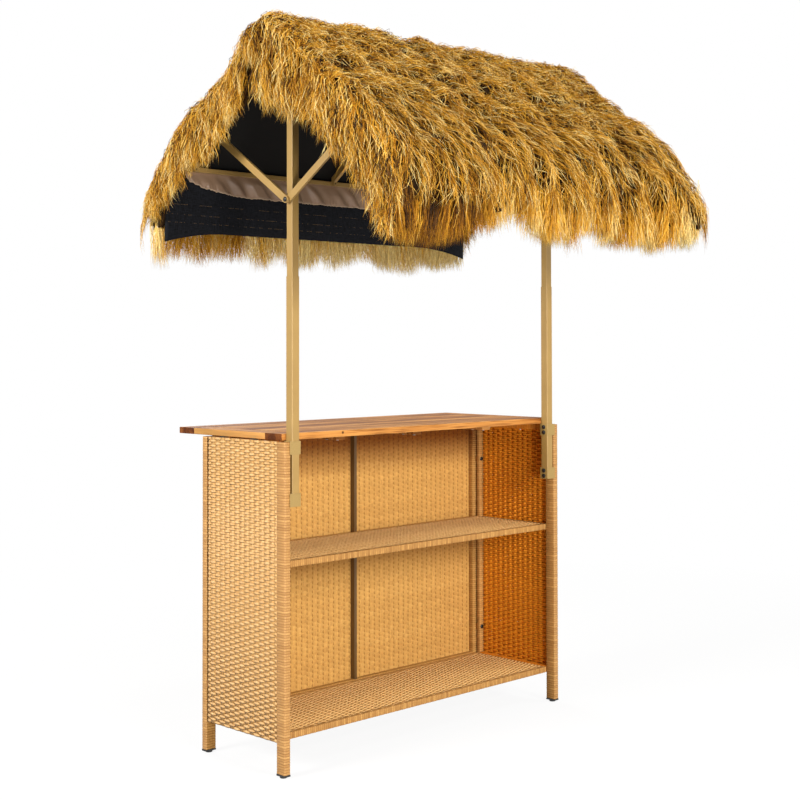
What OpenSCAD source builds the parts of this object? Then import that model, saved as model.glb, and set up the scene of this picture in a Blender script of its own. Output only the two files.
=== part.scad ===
// Thatched serving bar: a woven cabinet with a boarded counter, and a gable
// canopy that stands in two clamped posts.
// Millimetres. +X runs along the bar, +Y points to the customer, +Z is up.
// The origin is on the floor, midway along the bar, in the plane of the posts.

/* [Cabinet] */
// Length over the outer faces of the legs
bar_len = 1290; // [1000:10:1600]
// Depth from the front of the front legs to the back of the rear legs
bar_depth = 404; // [340:2:460]
// Height of the top of the legs and end frames
frame_top = 998; // [900:2:1100]
// Height of the lower edge of the woven panels
panel_low = 102; // [60:2:160]

/* [Legs and rails] */
// Wide side of the leg tube
leg_wide = 35; // [28:1:42]
// Narrow side of the leg tube
leg_thin = 20; // [16:1:24]
// Wall of every leg, rail and stile tube
tube_wall = 1.2; // [1:0.1:2]
// Height of the square rail tubes
rail_h = 20; // [16:1:26]
// Depth of the rear stile of an end frame
stile_d = 12; // [10:1:18]
// Width of the centre stile behind the customer panel
centre_stile_w = 12; // [10:1:20]
// Gap between an end frame and the rear leg, filled by the corner spacers
corner_gap = 7; // [4:0.5:10]

/* [Wicker] */
// Thickness of the strand wound round legs and rails
wrap_t = 1.5; // [1:0.1:2.5]
// Thickness of the woven sheets
weave_t = 3.5; // [2.5:0.1:5]

/* [Feet] */
// Thickness of the cap flange under a leg
cap_h = 5; // [3:0.5:8]
// Depth of the cap's plug inside the tube
cap_plug_h = 18; // [12:1:24]
// Diameter of the foot pad
foot_d = 22; // [16:1:22]
// Height of the foot pad
foot_h = 5; // [4:0.5:8]
// Diameter of the foot's threaded stud
stud_d = 8; // [6:1:10]
// Length of the stud above the pad
stud_len = 22; // [18:1:26]

/* [Shelves] */
// Height of the middle shelf's top
mid_shelf_z = 636; // [500:2:760]
// Thickness of a shelf over its wrapping
shelf_h = 20; // [18:1:26]
// Number of cross bars inside a shelf frame
shelf_bars = 3; // [1:1:5]
// Distance of the shelf bolts from the front and back of a shelf
shelf_bolt_in = 70; // [50:1:100]

/* [Counter] */
// Distance of the counter's ends from the outer faces of the legs
counter_inset = 13.5; // [0:0.5:16]
// Overhang of the counter past the rear legs
overhang = 140; // [60:5:220]
// Thickness of the boards
board_h = 20; // [16:1:26]
// Width of the front and rear boards
edge_board_w = 78; // [60:1:100]
// Width of the end boards
end_board_w = 70; // [50:1:100]
// Number of planks between the edge boards
plank_count = 5; // [3:1:8]
// Groove between two planks
plank_gap = 2; // [1:0.5:5]
// Clearance between the counter and the posts
counter_gap = 1.5; // [1:0.5:6]
// Thickness of the spacers under the counter
spacer_h = 3.5; // [2:0.5:8]
// Thickness of the battens under the planks
batten_h = 14; // [10:1:20]
// Width of the battens
batten_w = 40; // [30:1:60]
// Length of batten under the front and rear boards
batten_lap = 28; // [20:1:45]

/* [Posts] */
// Side of the lower post tube
post_w = 29; // [26:1:34]
// Wall of the post tubes
post_wall = 1; // [0.8:0.1:1.5]
// Clearance of the upper post inside the lower one, on each side
post_clear = 0.3; // [0.2:0.05:0.6]
// Gap between a post and the leg beside it
post_gap = 6; // [4:0.5:12]
// Height from the lower end of the posts to the top of the legs
post_grip = 194; // [150:1:260]
// Height of the top of the lower posts, where the upper ones enter
post_seam = 1495; // [1300:5:1520]
// Length of upper post that stands inside the lower one
spigot_len = 120; // [80:5:200]
// Height of the stop plug inside the lower post
stop_h = 12; // [8:1:20]

/* [Post clamps] */
// Height of a clamp
clamp_h = 40; // [34:1:48]
// Thickness of the clamp plate
clamp_t = 3; // [2:0.5:4]
// Length of the clamp's flange over the leg front
clamp_flange = 4; // [2:1:12]
// Height from the lower edge of the upper clamp to the top of the legs
clamp_drop = 38; // [36:1:80]
// Spacing of the two bolts of a clamp
clamp_bolt_gap = 19; // [18:0.5:22]

/* [Fasteners] */
// Shank diameter of the bolts
bolt_d = 6; // [5:0.5:8]
// Head diameter of the bolts
head_d = 15; // [12:0.5:16]
// Head height of the bolts
head_h = 5; // [3:0.5:6]
// Radial clearance of bolts in plain holes
bolt_clear = 0.3; // [0.2:0.1:0.6]
// Shank diameter of the wood screws
screw_d = 4.5; // [3.5:0.5:6]
// Outer diameter of the insert nuts
insert_d = 9; // [8:0.5:11]
// Distance of the corner bolts from the low end and from the top of an end frame
corner_bolt_in = [118, 145]; // [60:1:250]

/* [Canopy frame] */
// Height of the top of the ridge beam
ridge_top = 2238; // [2100:2:2400]
// Height of the ridge beam
ridge_h = 20; // [16:1:30]
// Half the distance between the outer faces of the eave bars
eave_y = 497.5; // [440:0.5:560]
// Height from the top of the ridge beam to the top of the eave bars
eave_drop = 371; // [320:1:430]
// Side of the eave bar and width of the rafters
bar_w = 15; // [12:1:20]
// Depth of the rafters, square to the slope
rafter_d = 20; // [16:1:24]
// Length of the spigots under the ridge, inside the posts
ridge_spigot = 40; // [25:1:80]
// Length of the eave bars past the outer rafters
eave_over = 17; // [4:1:60]
// Height from the top of the ridge beam to the strut pivots
pivot_drop = 512; // [460:2:600]
// Horizontal reach of a strut from its pivot to its upper bolt
strut_reach = 355; // [280:1:420]
// Width of a strut
strut_w = 22; // [18:1:26]
// Thickness of a strut
strut_t = 8; // [6:0.5:10]

/* [Canopy cover] */
// Length of the thatch past the eave bars
thatch_over = 103; // [60:1:160]
// Depth of the thatch outside the eave bars
thatch_out = 77.5; // [60:0.5:140]
// Height of the crest of the ridge cap above the ridge beam
crest_h = 62; // [50:1:90]
// Distance of the lower edge of the ridge cap from the ridge
cap_y = 170; // [120:5:200]
// Distance of the lower edge of the upper tier from the ridge
upper_y = 255; // [220:5:290]
// Distance of the lower edge of the middle tier from the ridge
middle_y = 375; // [320:5:420]
// Thickness of the upper tier at its top
upper_t = 46; // [25:1:60]
// Thickness of the middle tier at its top
middle_t = 35; // [20:1:50]
// Extra thickness of a tier at its tips
tip_t = 12; // [2:1:20]
// Thickness of the eave tier at its top
eave_t = 30; // [15:1:45]
// Height from the top of the eave bars to the ends of the fringe
fringe_drop = 311; // [240:1:360]
// Drop of the grass that hangs at the gables, below the backing
gable_drop = 205; // [120:5:260]
// Thickness of the hanging gable grass
gable_t = 25; // [15:1:40]
// Thickness of the backing sheet
backing_t = 3; // [2:0.5:5]
// Clearance under the backing and between backing and thatch
cloth_gap = 0.2; // [0.1:0.05:0.4]
// Height from the top of the eave bars to the lower edge of the backing
skirt_drop = 212; // [150:2:235]
// Depth of the valances
valance_h = 84; // [65:1:120]
// Thickness of the valances
valance_t = 2.5; // [1.5:0.5:3]
// Length of the curve at the lower corners of a valance
valance_curve = 310; // [60:5:400]
// Rise of the curve at the lower corners of a valance
valance_rise = 60; // [20:1:64]

/* [Joins] */
// Gap between tubes that are welded, or windings and sheets that are woven, to each other
join_gap = 0.1; // [0.05:0.05:0.2]

/* [Hidden] */
$fn = 48;

// Colours
tan_metal = [0.79, 0.66, 0.41];
wicker = [0.87, 0.70, 0.46];
wood = [0.70, 0.44, 0.24];
black = [0.05, 0.05, 0.05];
zinc = [0.62, 0.62, 0.60];
taupe = [0.45, 0.38, 0.33];
straw = [0.76, 0.56, 0.24];
dark_cloth = [0.06, 0.06, 0.07];

eps = 0.01;
both = [-1, 1];

// Cabinet planes
half_len = bar_len / 2;
front_y = -post_w / 2;
back_y = front_y + bar_depth;
wrapped_wide = leg_wide + 2 * wrap_t;
wrapped_thin = leg_thin + 2 * wrap_t;
leg_low = foot_h + cap_h;
inner_x = half_len - wrapped_thin;            // inner faces of front legs and end frames
leg_back_y = front_y + wrapped_wide;          // back faces of the front legs
rear_front_y = back_y - wrapped_thin;         // front faces of the rear legs
end_back_y = rear_front_y - corner_gap;       // back faces of the end frames
rear_inner_x = half_len - wrapped_wide;       // inner faces of the rear legs
centre_leg = [half_len - wrapped_thin / 2, front_y + wrapped_wide / 2];
rear_leg = [half_len - wrapped_wide / 2, back_y - wrapped_thin / 2];

// End frame tubes lie behind the woven sheet, flush with the wrapped legs inside
end_rail_x0 = inner_x + wrap_t;
end_rail_x1 = half_len - weave_t;
stile_y0 = end_back_y - wrap_t - stile_d;
low_rail_z = panel_low + wrap_t;
top_rail_z = frame_top - wrap_t - rail_h;
low_shelf_z = panel_low + shelf_h - 1;
shelf_tube = shelf_h - 2 * wrap_t;
mid_rail_z = mid_shelf_z - shelf_h / 2 - rail_h / 2;
corner_bolt_z = [panel_low + corner_bolt_in[0], frame_top - corner_bolt_in[1]];

// Customer frame tubes
cust_rail_y0 = rear_front_y + wrap_t;
cust_rail_y1 = back_y - weave_t;

// Shelves
shelf_y0 = leg_back_y;
shelf_y1 = rear_front_y - 0.5;
shelf_x = inner_x;
shelf_tube_y0 = shelf_y0 + wrap_t;
shelf_tube_y1 = shelf_y1 - wrap_t;
// Middles of the tubes that run from the front to the back of a shelf
shelf_bar_x = [for (i = [0 : shelf_bars + 1]) (2 * i / (shelf_bars + 1) - 1) * (shelf_x - shelf_tube / 2)];
shelf_bolt_y = [shelf_y0 + shelf_bolt_in, shelf_y1 - shelf_bolt_in];
mid_bolt_z = mid_shelf_z - shelf_h / 2;
low_bolt_z = low_shelf_z - shelf_h / 2;
// Inner face and height of each shelf's insert nuts
shelf_nuts = [[end_rail_x0, low_bolt_z], [inner_x, mid_bolt_z]];

// Counter
counter_z0 = frame_top + spacer_h;
counter_len = bar_len - 2 * counter_inset;
counter_y0 = post_w / 2 + counter_gap;
counter_y1 = back_y + overhang;
counter_d = counter_y1 - counter_y0;
plank_space = counter_d - 2 * edge_board_w - 2 * plank_gap;
plank_w = (plank_space - (plank_count - 1) * plank_gap) / plank_count;
plank_half = counter_len / 2 - end_board_w - plank_gap;
plank_y = [for (i = [0 : plank_count - 1]) counter_y0 + edge_board_w + plank_gap + i * (plank_w + plank_gap)];
batten_x = [-0.62, 0, 0.62] * plank_half;
screw_depth = 12;
end_screw_x = counter_len / 2 - screw_d;
spacer_l = 20;
spacer_span = end_back_y - counter_y0;
spacer_y = [counter_y0 + spacer_span * 0.38, counter_y0 + spacer_span * 0.82];
spacer_x = (end_rail_x0 + end_rail_x1) / 2;
cust_spacer_y = (cust_rail_y0 + cust_rail_y1) / 2;

// Posts
post_x = inner_x - post_gap - post_w / 2;
post_r = 2.5;
post_bore = post_w - 2 * post_wall;
upper_w = post_bore - 2 * post_clear;
upper_low = post_seam - spigot_len;
ridge_low = ridge_top - ridge_h;
bracket_t = 2;
upper_top = ridge_low - bracket_t;

// Clamps: lower edges and bolt heights
post_low = frame_top - post_grip;
clamp_z = [post_low, frame_top - clamp_drop];
clamp_bolts_z = [for (z = clamp_z) for (s = both) z + clamp_h / 2 + s * clamp_bolt_gap / 2];
clamp_in_x = post_x - post_w / 2 - clamp_t;

// Canopy frame
// The lining lies on the flat top of the ridge beam and falls to both eaves
flat_y = post_w / 2;
eave_top = ridge_top - eave_drop;
roof_slope = (eave_drop - 3) / (eave_y - flat_y);
roof_angle = atan(roof_slope);
rafter_v = rafter_d / cos(roof_angle);
function roof_z(y) = ridge_top - roof_slope * max(abs(y) - flat_y, 0);
rafter_out = post_x + post_bore / 2;
rafter_x = [-(rafter_out - bar_w / 2), 0, rafter_out - bar_w / 2];
rafter_y0 = flat_y;
rafter_y1 = eave_y - bar_w;
eave_bolt_z = eave_top - bar_w / 2;
pivot_z = ridge_top - pivot_drop;
strut_top_z = roof_z(strut_reach) - (strut_w / 2 + 2 * cloth_gap) / cos(roof_angle);
rafter_foot = 12;
strut_seat = 0.3;
strut_x0 = rafter_out;                        // inner face of the first strut
strut_x1 = strut_x0 + strut_t + strut_seat;   // inner face of the second strut

// Canopy cover
backing_y = eave_y + valance_t + 3;
backing_low = eave_top - skirt_drop;
backing_v = backing_t / cos(roof_angle);
function lining_z(y) = roof_z(y) + cloth_gap;
function cover_z(y) = lining_z(y) + backing_v;
function grass_z(y) = cover_z(y) + cloth_gap;
cover_y = backing_y + backing_t;
grass_y = cover_y + cloth_gap;
grass_steps = 8;
eave_len = 2 * (rafter_out + eave_over);
thatch_len = eave_len + 2 * thatch_over;
gable_clear = 2;
backing_len = thatch_len - 2 * (gable_t + gable_clear);
crest_r = 20;
thatch_y = eave_y + thatch_out;
fringe_low = eave_top - fringe_drop;
function crest_z(y) = ridge_top + crest_h - roof_slope * (sqrt(y * y + crest_r * crest_r) - crest_r);

// ---------- helpers ----------

// Rectangle with rounded corners, lower left corner at the origin
module rounded(w, h, r) {
  if (r <= 0) {
    square([w, h]);
  } else {
    translate([r, 0]) square([w - 2 * r, h]);
    translate([0, r]) square([w, h - 2 * r]);
    for (x = [r, w - r], y = [r, h - r]) translate([x, y]) circle(r = r, $fn = 32);
  }
}

// Outline of a tube section, solid when the wall is 0
module section(w, h, r, wall) {
  difference() {
    rounded(w, h, r);
    if (wall > 0) translate([wall, wall]) rounded(w - 2 * wall, h - 2 * wall, max(r - wall, 0));
  }
}

// Tube or bar between two corners, along one axis
module beam(axis, lo, hi, wall = 0, r = 0) {
  d = hi - lo;
  if (axis == "x") {
    translate(lo) rotate([90, 0, 90]) linear_extrude(d[0]) section(d[1], d[2], r, wall);
  } else if (axis == "y") {
    translate([lo[0], hi[1], lo[2]]) rotate([90, 0, 0]) linear_extrude(d[1]) section(d[0], d[2], r, wall);
  } else {
    translate(lo) linear_extrude(d[2]) section(d[0], d[1], r, wall);
  }
}

module block(lo, hi) translate(lo) cube(hi - lo);

// Cylinder along X or Y from a point
module rod_x(p, len, d) translate(p) rotate([0, 90, 0]) cylinder(h = len, d = d);
module rod_y(p, len, d) translate(p) rotate([-90, 0, 0]) cylinder(h = len, d = d);

// Put children on the right (1) or mirror them to the left (-1)
module on_side(side) {
  if (side > 0) children();
  else mirror([1, 0, 0]) children();
}

// Put children towards the customer (1) or mirror them to the server (-1)
module on_slope(side) {
  if (side > 0) children();
  else mirror([0, 1, 0]) children();
}

// Profile in the YZ plane, extruded along X between two planes
module across(x0, x1) translate([x0, 0, 0]) rotate([90, 0, 90]) linear_extrude(x1 - x0) children();

// Dome-headed bolt along +X: head at the origin's -X side, shank towards +X
module dome_bolt(len) {
  cylinder_h = head_h * 0.45;
  dome_h = head_h - cylinder_h;
  rotate([0, 90, 0]) {
    cylinder(h = len, d = bolt_d);
    rotate([180, 0, 0]) {
      cylinder(h = cylinder_h, d = head_d);
      translate([0, 0, cylinder_h]) dome(head_d / 2, dome_h);
    }
  }
}

// Spherical cap of base radius r and height h, standing on z = 0
module dome(r, h) {
  ball = (r * r + h * h) / (2 * h);
  rotate_extrude()
    intersection() {
      translate([0, h - ball]) circle(r = ball, $fn = 64);
      square([r, h]);
    }
}

// ---------- legs and feet ----------

module front_tube() {
  beam("z",
    [inner_x + wrap_t, front_y + wrap_t, leg_low],
    [half_len - wrap_t, leg_back_y - wrap_t, frame_top - wrap_t], tube_wall);
}

module front_leg(side) color(tan_metal) on_side(side) difference() {
  front_tube();
  for (z = clamp_bolts_z) rod_x([inner_x, 0, z], wrap_t + tube_wall + 1, insert_d);
}

module rear_leg(side) color(tan_metal) on_side(side) difference() {
  beam("z",
    [rear_inner_x + wrap_t, rear_front_y + wrap_t, leg_low],
    [half_len - wrap_t, back_y - wrap_t, frame_top - wrap_t], tube_wall);
  for (z = corner_bolt_z)
    rod_y([spacer_x, rear_front_y, z], wrap_t + tube_wall + 1, insert_d);
}

// Wrapping of one leg tube, closed over the top and open at the foot
module leg_wrap(lo, hi) difference() {
  block([lo[0], lo[1], leg_low], [hi[0], hi[1], frame_top]);
  block([lo[0] + wrap_t, lo[1] + wrap_t, leg_low - 1], [hi[0] - wrap_t, hi[1] - wrap_t, frame_top - wrap_t]);
}

module leg_wraps() color(wicker) for (side = both) on_side(side) {
  difference() {
    leg_wrap([inner_x, front_y], [half_len, leg_back_y]);
    for (z = clamp_bolts_z) rod_x([inner_x - 1, 0, z], wrap_t + 2, bolt_d + 2 * bolt_clear);
    for (z = end_rails_z)
      block([end_rail_x(z), leg_back_y - 2 * wrap_t, z], [end_rail_x1, leg_back_y + 1, z + rail_h]);
  }
  difference() {
    leg_wrap([rear_inner_x, rear_front_y], [half_len, back_y]);
    for (z = corner_bolt_z)
      rod_y([spacer_x, rear_front_y - 1, z], wrap_t + 2, bolt_d + 2 * bolt_clear);
    for (z = [low_rail_z, top_rail_z])
      block([rear_inner_x - 1, cust_rail_y0, z], [rear_inner_x + wrap_t + 1, cust_rail_y1, z + rail_h]);
  }
}

// Cap flange and plug for one leg, with the foot's threaded hole
module leg_cap(centre, w, d) {
  plug = tube_wall + wrap_t;
  translate([centre[0], centre[1], 0]) difference() {
    union() {
      translate([-w / 2, -d / 2, foot_h]) cube([w, d, cap_h]);
      translate([-w / 2 + plug, -d / 2 + plug, foot_h])
        cube([w - 2 * plug, d - 2 * plug, cap_h + cap_plug_h]);
    }
    translate([0, 0, foot_h - 1]) cylinder(h = stud_len + 3, d = stud_d + 0.1);
  }
}

module leg_caps() color(black) for (side = both) on_side(side) {
  leg_cap(centre_leg, wrapped_thin, wrapped_wide);
  leg_cap(rear_leg, wrapped_wide, wrapped_thin);
}

module levelling_foot(centre, side) color(black) on_side(side)
  translate([centre[0], centre[1], 0]) {
    rim = 1;
    cylinder(h = rim, d1 = foot_d - 2 * rim, d2 = foot_d);
    translate([0, 0, rim]) cylinder(h = foot_h - rim, d = foot_d);
    translate([0, 0, foot_h - eps]) cylinder(h = stud_len + eps, d = stud_d);
  }

// ---------- end frames ----------

end_rails_z = [low_rail_z, mid_rail_z, top_rail_z];
// The middle rail is bare and reaches the shelf, the others are wrapped
function end_rail_x(z) = z == mid_rail_z ? inner_x : end_rail_x0;

module end_frame(side) color(tan_metal) on_side(side) difference() {
  union() {
    for (z = end_rails_z)
      beam("y", [end_rail_x(z), leg_back_y - wrap_t, z], [end_rail_x1, stile_y0 - join_gap, z + rail_h],
        tube_wall);
    beam("z", [end_rail_x0, stile_y0, low_rail_z],
      [end_rail_x1, stile_y0 + stile_d, frame_top - wrap_t], tube_wall);
  }
  for (z = corner_bolt_z) rod_y([spacer_x, stile_y0 - 1, z], stile_d + 2, bolt_d + 2 * bolt_clear);
  for (y = shelf_bolt_y, p = shelf_nuts) rod_x([p[0] - 1, y, p[1]], tube_wall + 2, insert_d);
  for (y = spacer_y) screw_way(end_screw_x, y, top_rail_z, rail_h);
}

// Windings of the top rail, the bottom rail and the stile, behind the woven sheet
module end_windings() {
  rail_wind = rail_h + 2 * wrap_t;
  wind_x1 = end_rail_x1 - join_gap;
  for (z = [panel_low, top_rail_z - wrap_t])
    block([inner_x, leg_back_y, z], [wind_x1, end_back_y, z + rail_wind]);
  block([inner_x, stile_y0 - wrap_t, panel_low + rail_wind + join_gap],
    [wind_x1, end_back_y, top_rail_z - wrap_t - join_gap]);
}

// Woven sheet on the outside, with the wound rails and stile behind it
module end_wicker(side) color(wicker) on_side(side) difference() {
  union() {
    block([end_rail_x1, leg_back_y, panel_low], [half_len, end_back_y, frame_top]);
    end_windings();
  }
  for (z = [low_rail_z, top_rail_z])
    block([end_rail_x0, leg_back_y - 1, z], [end_rail_x1, stile_y0 + stile_d, z + rail_h]);
  block([end_rail_x0, stile_y0, low_rail_z], [end_rail_x1, stile_y0 + stile_d, frame_top - wrap_t]);
  block([inner_x - 1, leg_back_y - 1, mid_rail_z], [end_rail_x1, stile_y0, mid_rail_z + rail_h]);
  for (z = corner_bolt_z)
    rod_y([spacer_x, stile_y0 - 2 * wrap_t, z], stile_d + 5 * wrap_t, bolt_d + 2 * bolt_clear);
  for (y = shelf_bolt_y) rod_x([inner_x - 1, y, low_bolt_z], wrap_t + 2, insert_d);
  for (y = spacer_y) screw_way(end_screw_x, y, top_rail_z - wrap_t, rail_h + 2 * wrap_t);
}

// ---------- customer side ----------

module customer_frame() color(tan_metal) difference() {
  union() {
    for (z = [low_rail_z, top_rail_z])
      beam("x", [-rear_inner_x - wrap_t, cust_rail_y0, z],
        [rear_inner_x + wrap_t, cust_rail_y1, z + rail_h], tube_wall);
    beam("z", [-centre_stile_w / 2, rear_front_y, low_rail_z + rail_h + join_gap],
      [centre_stile_w / 2, cust_rail_y1, top_rail_z - join_gap], tube_wall);
  }
  for (x = batten_x) screw_way(x, cust_spacer_y, top_rail_z, rail_h);
}

module customer_wicker() color(wicker) difference() {
  union() {
    block([-rear_inner_x, cust_rail_y1, panel_low], [rear_inner_x, back_y, frame_top]);
    for (z = [panel_low, top_rail_z - wrap_t])
      block([-rear_inner_x, rear_front_y, z], [rear_inner_x, cust_rail_y1 - join_gap, z + rail_h + 2 * wrap_t]);
  }
  for (z = [low_rail_z, top_rail_z])
    block([-rear_inner_x - 1, cust_rail_y0, z], [rear_inner_x + 1, cust_rail_y1, z + rail_h]);
  block([-centre_stile_w / 2, rear_front_y - 1, low_rail_z + rail_h - eps],
    [centre_stile_w / 2, cust_rail_y1, top_rail_z + eps]);
  for (x = batten_x) screw_way(x, cust_spacer_y, top_rail_z - wrap_t, rail_h + 2 * wrap_t);
}

// Wound blocks that hold the end frames off the rear legs
module corner_spacers() color(wicker) for (side = both, z = corner_bolt_z) on_side(side)
  difference() {
    block([end_rail_x0, end_back_y, z - 10], [half_len - 1, rear_front_y, z + 10]);
    rod_y([spacer_x, end_back_y - 1, z], corner_gap + 2, bolt_d + 2 * bolt_clear);
  }

module corner_bolts() color(black) for (side = both, z = corner_bolt_z) on_side(side)
  translate([spacer_x, stile_y0 - wrap_t, z]) rotate([0, 0, 90])
    dome_bolt(stile_d + 3 * wrap_t + corner_gap + tube_wall + 6);

// ---------- shelves ----------

// Front and rear tubes, and the tubes welded between them
module shelf_frame(top) color(tan_metal) difference() {
  z0 = top - shelf_h + wrap_t;
  z1 = top - wrap_t;
  in_y0 = shelf_tube_y0 + shelf_tube + join_gap;
  in_y1 = shelf_tube_y1 - shelf_tube - join_gap;
  union() {
    for (y = [shelf_tube_y0, shelf_tube_y1 - shelf_tube])
      beam("x", [-shelf_x, y, z0], [shelf_x, y + shelf_tube, z1], tube_wall);
    for (x = shelf_bar_x)
      beam("y", [x - shelf_tube / 2, in_y0, z0], [x + shelf_tube / 2, in_y1, z1], tube_wall);
  }
  for (side = both, y = shelf_bolt_y) on_side(side)
    rod_x([shelf_x - shelf_tube - 1, y, top - shelf_h / 2], shelf_tube + 2, bolt_d + 2 * bolt_clear);
}

// Woven top with a strand-wound edge at the front and back, notched round the cross tubes
module shelf_wicker(top) color(wicker) difference() {
  union() {
    block([-shelf_x, shelf_y0, top - wrap_t], [shelf_x, shelf_y1, top]);
    for (y = [shelf_y0, shelf_y1 - shelf_h])
      block([-shelf_x, y, top - shelf_h], [shelf_x, y + shelf_h, top]);
  }
  for (y = [shelf_tube_y0, shelf_tube_y1 - shelf_tube])
    block([-shelf_x - 1, y, top - shelf_h + wrap_t], [shelf_x + 1, y + shelf_tube, top - wrap_t]);
  notch = shelf_tube / 2 + join_gap;
  for (x = shelf_bar_x)
    block([x - notch, shelf_tube_y0 + shelf_tube - 1, top - shelf_h + wrap_t - join_gap],
      [x + notch, shelf_tube_y1 - shelf_tube + 1, top - wrap_t]);
}

module shelf_bolts() color(zinc) for (side = both, y = shelf_bolt_y, top = [low_shelf_z, mid_shelf_z])
  on_side(side) translate([shelf_x - shelf_tube, y, top - shelf_h / 2]) {
    rotate([0, 90, 0]) cylinder(h = shelf_tube + wrap_t + tube_wall + 8, d = bolt_d);
    rotate([0, -90, 0]) cylinder(h = 4, d = 10);
  }

// ---------- counter ----------

module counter_edge_boards() color(wood) difference() {
  union() {
    for (y = [counter_y0, counter_y1 - edge_board_w])
      beam("x", [-counter_len / 2, y, counter_z0], [counter_len / 2, y + edge_board_w, counter_z0 + board_h],
        0, 2);
    for (side = both) on_side(side)
      beam("y", [counter_len / 2 - end_board_w, counter_y0 + edge_board_w + 0.2, counter_z0],
        [counter_len / 2, counter_y1 - edge_board_w - 0.2, counter_z0 + board_h], 0, 2);
  }
  counter_screw_holes();
}

module counter_planks() color(wood) difference() {
  for (i = [0 : plank_count - 1]) {
    beam("x", [-plank_half, plank_y[i], counter_z0], [plank_half, plank_y[i] + plank_w, counter_z0 + board_h],
      0, 2);
  }
  counter_screw_holes();
}

// Battens inside the cabinet, and short ones under the overhang
batten_in = [counter_y0 + edge_board_w - batten_lap, rear_front_y - 6];
batten_out = [back_y + 8, counter_y1 - edge_board_w + batten_lap];
function over(y, span) = y > span[0] + 8 && y < span[1] - 8;
batten_screw_y = concat(
  [(batten_in[0] + counter_y0 + edge_board_w) / 2, (batten_out[1] + counter_y1 - edge_board_w) / 2],
  [for (y = plank_y) let (c = y + plank_w / 2) if (over(c, batten_in) || over(c, batten_out)) c]
);

module counter_battens() color(wood) difference() {
  for (x = batten_x, span = [batten_in, batten_out])
    beam("y", [x - batten_w / 2, span[0], counter_z0 - batten_h], [x + batten_w / 2, span[1], counter_z0],
      0, 2);
  for (x = batten_x, y = batten_screw_y) screw_way(x, y, counter_z0 - batten_h, batten_h);
}

module counter_spacers() color(black) {
  for (side = both, y = spacer_y) on_side(side) difference() {
    block([inner_x, y - spacer_l / 2, frame_top], [inner_x + 18, y + spacer_l / 2, counter_z0]);
    screw_way(end_screw_x, y, frame_top, spacer_h);
  }
  for (x = batten_x) difference() {
    block([x - spacer_l / 2, cust_spacer_y - 8, frame_top], [x + spacer_l / 2, cust_spacer_y + 8, counter_z0]);
    screw_way(x, cust_spacer_y, frame_top, spacer_h);
  }
}

// Clearance hole for a wood screw through a layer of height h
module screw_way(x, y, z, h) translate([x, y, z - 0.5]) cylinder(h = h + 1, d = screw_d + 0.4);

// Pan-headed screw that points up from z
module wood_screw(x, y, z, len) translate([x, y, z]) {
  cylinder(h = len, d = screw_d);
  translate([0, 0, -2.5]) cylinder(h = 2.5 + eps, d = 2 * screw_d);
}

rail_screw_z = top_rail_z - wrap_t;
rail_screw_len = counter_z0 + screw_depth - rail_screw_z;

module counter_screws() color(zinc) {
  for (side = both, y = spacer_y) on_side(side) wood_screw(end_screw_x, y, rail_screw_z, rail_screw_len);
  for (x = batten_x) wood_screw(x, cust_spacer_y, rail_screw_z, rail_screw_len);
  for (x = batten_x, y = batten_screw_y)
    wood_screw(x, y, counter_z0 - batten_h, batten_h + screw_depth);
}

// Pilot holes in the boards, as wide as the screws
module counter_screw_holes() {
  for (side = both, y = spacer_y) on_side(side)
    translate([end_screw_x, y, counter_z0 - 1]) cylinder(h = screw_depth + 1, d = screw_d);
  for (x = batten_x, y = concat(batten_screw_y, [cust_spacer_y]))
    translate([x, y, counter_z0 - 1]) cylinder(h = screw_depth + 1, d = screw_d);
}

// ---------- posts and clamps ----------

module lower_post(side) color(tan_metal) on_side(side) difference() {
  beam("z", [post_x - post_w / 2, -post_w / 2, post_low], [post_x + post_w / 2, post_w / 2, post_seam],
    post_wall, post_r);
  for (z = clamp_bolts_z) rod_x([post_x - post_w, 0, z], 2 * post_w, bolt_d + 2 * bolt_clear);
}

module upper_post(side) color(tan_metal) on_side(side) difference() {
  beam("z", [post_x - upper_w / 2, -upper_w / 2, upper_low], [post_x + upper_w / 2, upper_w / 2, upper_top],
    post_wall, post_r - post_wall + 0.5);
  rod_x([post_x - post_w, 0, pivot_z], 2 * post_w, bolt_d + 2 * bolt_clear);
}

// Plug that the upper post stands on
module post_stops() color(black) for (side = both) on_side(side)
  beam("z", [post_x - post_bore / 2, -post_bore / 2, upper_low - stop_h],
    [post_x + post_bore / 2, post_bore / 2, upper_low], 6, post_r - post_wall);

// Square collar round the post with a flange over the leg's front
module post_clamp(z) difference() {
  out_w = post_w / 2 + clamp_t;
  union() {
    beam("z", [clamp_in_x, -out_w, z], [inner_x, out_w, z + clamp_h], 0, 1.5);
    beam("z", [clamp_in_x + 4, -out_w, z], [inner_x + clamp_flange, -post_w / 2, z + clamp_h], 0, 0.8);
  }
  block([post_x - post_w / 2, -post_w / 2, z - 1], [post_x + post_w / 2, post_w / 2, z + clamp_h + 1]);
  for (s = both)
    rod_x([clamp_in_x - 1, 0, z + clamp_h / 2 + s * clamp_bolt_gap / 2], post_w + 4 * clamp_t + post_gap,
      bolt_d + 2 * bolt_clear);
}

module post_clamps(side) color(tan_metal) on_side(side) for (z = clamp_z) post_clamp(z);

clamp_bolt_len = clamp_t + post_w + post_gap + wrap_t + tube_wall + 8;

module clamp_bolts() color(black) for (side = both, z = clamp_bolts_z) on_side(side)
  translate([clamp_in_x, 0, z]) dome_bolt(clamp_bolt_len);

// Threaded insert along +X, its flange at the origin
module insert_nut(len) rotate([0, 90, 0]) difference() {
  cylinder(h = len, d = insert_d);
  translate([0, 0, -1]) cylinder(h = len + 2, d = bolt_d + 0.05);
}

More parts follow.
